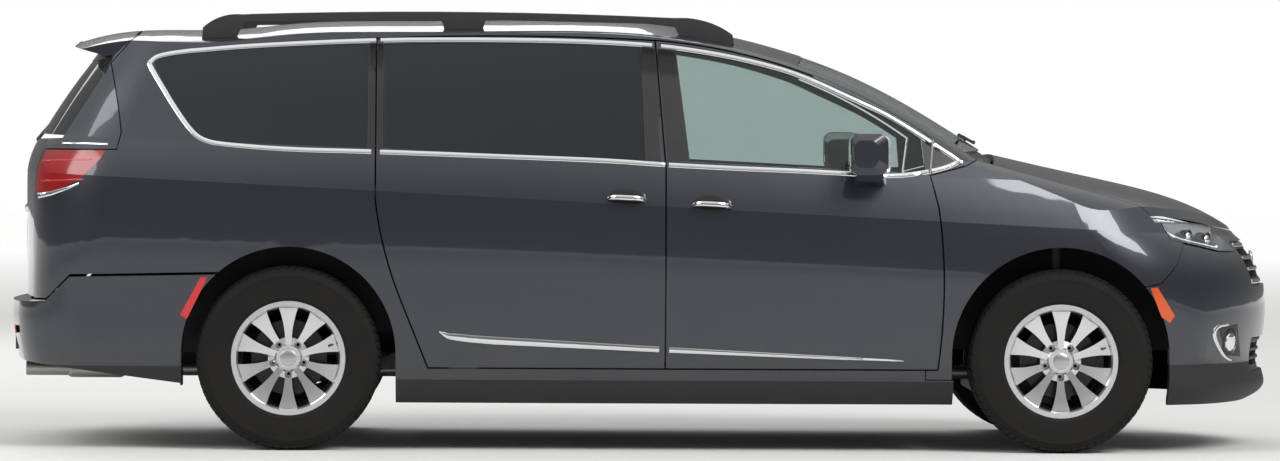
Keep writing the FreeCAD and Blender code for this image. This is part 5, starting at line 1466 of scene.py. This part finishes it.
@dataclass
class Seats(Dress):
    """Stuffed cushions, backs and head rests in woven cloth, on plastic bases."""

    cushion_size: Triple = (0.530, 0.500, 0.150)
    back_size: Triple = (0.620, 0.480, 0.125)
    rest_size: Triple = (0.190, 0.270, 0.095)
    lean: float = math.radians(18)
    voxel: float = 0.015
    frames: int = 20
    # Channels sewn into the cushions and backs: the two ends of each, pairs of x and y.
    cushion_seams: tuple[tuple[Point, Point], ...] = (
        ((-0.20, 0.155), (0.24, 0.150)), ((-0.20, -0.155), (0.24, -0.150)), ((-0.05, -0.155), (-0.05, 0.155)),
        ((0.10, -0.155), (0.10, 0.155)))
    back_seams: tuple[tuple[Point, Point], ...] = (
        ((-0.26, 0.150), (0.26, 0.140)), ((-0.26, -0.150), (0.26, -0.140)), ((-0.08, -0.150), (-0.08, 0.150)),
        ((0.10, -0.145), (0.10, 0.145)))

    def form(self, name: str, size: Triple, bolster: float, cap: float) -> Piece:
        """A soft block with raised side bolsters, stuffed.

        Args:
            name: Its name.
            size: Its length, width and thickness.
            bolster: How far its sides rise over its middle.
            cap: The furthest that the stuffing moves a point.

        Returns:
            The stuffed form.
        """
        mesh = bmesh.new()
        bmesh.ops.create_cube(mesh, size=2.0)
        bmesh.ops.subdivide_edges(mesh, edges=mesh.edges, cuts=11, use_grid_fill=True)

        def drawn_in(a: float, b: float, by: float = 0.30) -> float:
            return math.sqrt(1 - by * a * a / 2 - by * b * b / 2 + by * by * a * a * b * b / 3)

        for vertex in mesh.verts:
            u, v, w = vertex.co
            rise = bolster * (min(1.0, max(0.0, (abs(v) - 0.5) / 0.3)) - 0.5) * max(w, 0.0)
            vertex.co = Vector((u * drawn_in(v, w) * size[0] / 2, v * drawn_in(u, w) * size[1] / 2,
                                w * drawn_in(u, v) * size[2] / 2 + rise))
        piece = from_bmesh(name, mesh)
        remesh = piece.modifiers.new("remesh", "REMESH")
        remesh.mode = "VOXEL"
        remesh.voxel_size = self.voxel
        baked(piece, remesh)
        self.stuff(piece, cap)
        smooth = piece.modifiers.new("finer", "SUBSURF")
        smooth.levels = smooth.render_levels = 1
        return baked(piece, smooth)

    def stuff(self, piece: Piece, cap: float) -> None:
        """Blows a block up as cloth and keeps how far each point moved within a cap.

        Args:
            piece: The block.
            cap: The furthest move.
        """
        before = [v.co.copy() for v in piece.data.vertices]
        cloth = piece.modifiers.new("fill", "CLOTH")
        cloth.settings.use_pressure = True
        cloth.settings.uniform_pressure_force = 4.0
        cloth.settings.effector_weights.gravity = 0.0
        cloth.settings.quality = 4
        cloth.point_cache.frame_start, cloth.point_cache.frame_end = 1, self.frames
        for step in range(1, self.frames + 1):
            bpy.context.scene.frame_set(step)
        baked(piece, cloth)
        for vertex, old in zip(piece.data.vertices, before):
            move = vertex.co - old
            if move.length > cap:
                vertex.co = old + move.normalized() * cap
        bpy.context.scene.frame_set(1)

    @staticmethod
    def sew(piece: Piece, seams: Sequence[tuple[Point, Point]], depth: float = 0.006,
            spread: float = 0.008) -> None:
        """Sews channels into the upper side of a form.

        Args:
            piece: The form.
            seams: Each channel's two ends.
            depth: How deep a channel is.
            spread: How far it draws the cloth in to each side.
        """
        for vertex in piece.data.vertices:
            if vertex.normal.z < 0.3:
                continue
            for (ax, ay), (bx, by) in seams:
                dx, dy = bx - ax, by - ay
                share = ((vertex.co.x - ax) * dx + (vertex.co.y - ay) * dy) / (dx * dx + dy * dy)
                t = min(1.0, max(0.0, share))
                gap = math.hypot(vertex.co.x - ax - dx * t, vertex.co.y - ay - dy * t)
                vertex.co.z -= depth * math.exp(-(gap / spread) ** 2)

    def threads(self, cushion: Piece) -> Piece:
        """Stitches on both sides of the cushion's two long seams.

        Args:
            cushion: The stuffed cushion.

        Returns:
            The stitches.
        """
        mesh = bmesh.new()
        mesh.from_mesh(cushion.data)
        tree = BVHTree.FromBMesh(mesh)
        mesh.free()
        runs = []
        for start, stop in self.cushion_seams[:2]:
            for off in (-0.011, 0.011):
                path = [lerp(start, stop, k / 40) for k in range(41)]
                hits = [tree.ray_cast(Vector((x, y + off, 1.0)), Vector((0, 0, -1)))[0] for x, y in path]
                points = [hit + Vector((0, 0, 0.0004)) for hit in hits if hit is not None]
                data = bpy.data.meshes.new("stitch_run")
                data.from_pydata(points, [(i, i + 1) for i in range(len(points) - 1)], [])
                runs.append(self.kit.repeats.grow(
                    linked("stitch_run", data), self.kit.repeats.stitch, Pitch=0.0075, Length=0.005,
                    Radius=0.0007, Material=self.kit.finishes["seat_thread"]))
        return joined(runs, "stitches")

    def copy(self, source: Piece, name: str, place: Matrix, node: str = "") -> None:
        """Places one copy of a stuffed form, or of the stitches.

        Args:
            source: The form or the stitches.
            name: The copy's name.
            place: Where it goes.
            node: The solid that a stuffed form stands for.
        """
        piece = linked(name, source.data.copy())
        piece.data.transform(place)
        if node:
            piece.data.materials.clear()
            piece.data.materials.append(self.kit.finishes["seat_cloth"])
            piece.data.shade_smooth()
            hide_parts(node)
        settle(piece, "body")

    def base(self, x: float, y: float, on_feet: bool) -> Shape:
        """The plastic base of a seat: a pan on two runners, or a low box in the third row."""
        if not on_feet:
            return Shape().block((x, y - 0.170, 0.478), (x + 0.440, y + 0.170, 0.668), 0.020)
        base = Shape().block((x, y - 0.225, 0.470), (x + 0.440, y + 0.225, 0.560), 0.022)
        for off in (-0.19, 0.19):
            base.block((x, y + off - 0.025, 0.366), (x + 0.420, y + off + 0.025, 0.480), 0.006)
        return base

    def build(self) -> None:
        """Makes every seat from three stuffed forms."""
        cushion = self.form("cushion_form", self.cushion_size, 0.030, 0.022)
        back = self.form("back_form", self.back_size, 0.030, 0.022)
        rest = self.form("rest_form", self.rest_size, 0.0, 0.012)
        self.sew(cushion, self.cushion_seams)
        self.sew(back, self.back_seams)
        stitches = self.threads(cushion)
        up = Vector((-math.sin(self.lean), 0.0, math.cos(self.lean)))
        upright = Matrix.Rotation(-(math.pi / 2 + self.lean), 4, "Y")
        # Each row: name, solid, place along the van, narrowing, places across, rise, and whether it has feet.
        rows = (("front", "front_seats", 0.0, 1.0, (-0.390, 0.390), 0.0, True),
                ("second", "second_row_seats", -0.910, 1.0, (-0.390, 0.390), 0.0, True),
                ("third", "third_row_seat", -1.889, 0.745, (-0.387, 0.0, 0.387), 0.112, False))
        for row, node, shift, squeeze, places, rise, on_feet in rows:
            narrow = Matrix.Diagonal((1.0, squeeze, 1.0, 1.0))
            for i, y in enumerate(places):
                seat = Matrix.Translation((0.523 + shift, y, 0.612 + rise)) @ Matrix.Rotation(
                    math.radians(-4), 4, "Y") @ narrow
                middle = Vector((0.258 + shift, y, 0.628 + rise)) + up * 0.31
                head = Vector((0.262 + shift, y, 0.618 + rise)) + up * 0.72
                self.copy(cushion, f"cushion_{row}_{i}", seat, node)
                self.copy(back, f"back_{row}_{i}", Matrix.Translation(middle) @ upright @ narrow, node)
                self.copy(rest, f"head_rest_{row}_{i}", Matrix.Translation(head) @ upright @ narrow, node)
                self.copy(stitches, f"stitches_{row}_{i}", seat)
                posts = Shape()
                for off in (-0.055, 0.055):
                    posts.turned([(0.0, 0.0), (0.006, 0.0), (0.006, 0.12), (0.0, 0.12)],
                                 head - up * 0.17 + Vector((0, off, 0)), up, 14)
                self.add(posts, f"rest_posts_{row}_{i}", "satin_metal", slot="chassis_steel")
                self.add(self.base(0.300 + shift, y, on_feet), f"seat_base_{row}_{i}", "interior_plastic")
        for form in (cushion, back, rest, stitches):
            bpy.data.objects.remove(form)


@dataclass
class Cabin(Dress):
    """Screens and air vents on the dashboard, and the steering wheel's hub."""

    face: float = 0.918
    column: float = math.radians(26)

    def build(self) -> None:
        """Makes the cabin's parts."""
        lean = Matrix.Rotation(math.radians(-14), 3, "Y")
        self.add(Shape().block((0.890, -0.110, 0.880), (0.912, 0.110, 1.010), 0.004, lean), "centre_screen",
                 "gloss_black")
        self.add(Shape().block((0.886, 0.262, 0.960), (0.914, 0.518, 1.052), 0.008, lean), "gauge_screen",
                 "gloss_black")
        plastic = self.kit.finishes["black_plastic"]
        for name, y in (("left", 0.640), ("mid_left", 0.165), ("mid_right", -0.165), ("right", -0.640)):
            slat = Shape().block((self.face - 0.012, -0.045, -0.0012),
                                 (self.face + 0.004, 0.045, 0.0012), 0.0008)
            piece = self.kit.repeats.grow(slat.finish(f"vent_{name}", plastic), self.kit.repeats.row, Count=7,
                                          Start=(0.0, y, 0.905), Step=(0.0, 0.0, 0.010), Material=plastic)
            settle(piece, "body")
        hub = [(0.0, -0.010), (0.066, -0.010), (0.070, 0.004), (0.062, 0.016), (0.040, 0.022), (0.0, 0.024)]
        axis = (-math.cos(self.column), 0.0, math.sin(self.column))
        self.add(Shape().turned(hub, Vector((0.813, 0.390, 0.950)), axis), "steering_hub", "interior_plastic",
                 "steering_wheel")


@dataclass
class Studio(Dress):
    """Pale floor, soft lamps, white background and the photograph's camera."""

    eye: Triple = (-0.5, -26.0, 1.35)
    near_plane: float = -0.985
    metres_wide: float = 5.108
    centre: Point = (-0.025, 0.885)
    roll: float = math.radians(0.3)
    sensor: float = 36.0
    ambient: float = 0.58
    horizon: float = 0.16
    floor_half: float = 60.0

    def floor(self) -> None:
        """A wide pale floor."""
        shape = Shape()
        h = self.floor_half
        corners = ((-h, -h, 0), (h, -h, 0), (h, h, 0), (-h, h, 0))
        shape.mesh.faces.new([shape.mesh.verts.new(p) for p in corners])
        shape.finish("floor", self.kit.finishes["pale_floor"], smooth=False)

    def lamp(self, name: str, place: Triple, size: float, power: float) -> None:
        """A soft square lamp that looks at the van's middle.

        Args:
            name: Its name.
            place: Where it hangs.
            size: Its width.
            power: Its power in watts.
        """
        data = bpy.data.lights.new(name, "AREA")
        data.size = size
        data.energy = power
        lamp = linked(name, data)
        lamp.location = place
        lamp.rotation_euler = (Vector((0, 0, 0.8)) - Vector(place)).to_track_quat("-Z", "Y").to_euler()

    def world(self) -> None:
        """White to the eye and through glass, plain to the object, and darker low down in its gloss."""
        world = bpy.data.worlds.new("studio")
        world.use_nodes = True
        bpy.context.scene.world = world
        sheet = Sheet(world.node_tree)
        rays = sheet.add("ShaderNodeLightPath").outputs
        overhead = sheet.ramp(sheet.parts(sheet.place("Generated"))["Z"], 0.22, 0.90, self.horizon)
        seen = sheet.math("MAXIMUM", rays["Is Camera Ray"], rays["Is Transmission Ray"])
        plain = sheet.blend(rays["Is Glossy Ray"], self.ambient, overhead)
        sheet.fill(world.node_tree.nodes["Background"], {"Color": (1.0, 1.0, 1.0, 1.0),
                                                         "Strength": sheet.blend(seen, plain, 1.0)})

    def camera(self) -> None:
        """The camera at the photograph's place, with its framing."""
        data = bpy.data.cameras.new("camera")
        look = Vector((self.centre[0], self.near_plane, self.centre[1])) - Vector(self.eye)
        data.sensor_width = self.sensor
        data.lens = self.sensor * look.length / self.metres_wide
        camera = linked("camera", data)
        camera.location = self.eye
        turn = look.to_track_quat("-Z", "Y").to_matrix() @ Matrix.Rotation(self.roll, 3, "Z")
        camera.rotation_euler = turn.to_euler()
        bpy.context.scene.camera = camera
        bpy.context.scene.view_settings.view_transform = "Standard"

    def build(self) -> None:
        """Makes the stage."""
        self.floor()
        self.lamp("key", (6.5, -8.0, 9.0), 6.0, 1150.0)
        self.lamp("fill", (-8.0, -5.0, 7.0), 6.0, 480.0)
        self.lamp("back", (-3.0, 9.0, 8.0), 9.0, 420.0)
        self.world()
        self.camera()


def main() -> None:
    """Builds the van's finishes and pieces in order."""
    logging.basicConfig(level=logging.INFO, format="%(name)s %(message)s")
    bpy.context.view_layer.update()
    kit = Kit()
    for dress in (Studio, Carried, WindowTrim, DoorHandles, FlankTrim, Wheels, LampUnits, Mirrors, NoseDress,
                  TailDress, RoofDress, Seats, Cabin):
        dress(kit).build()


if __name__ == "__main__":
    main()
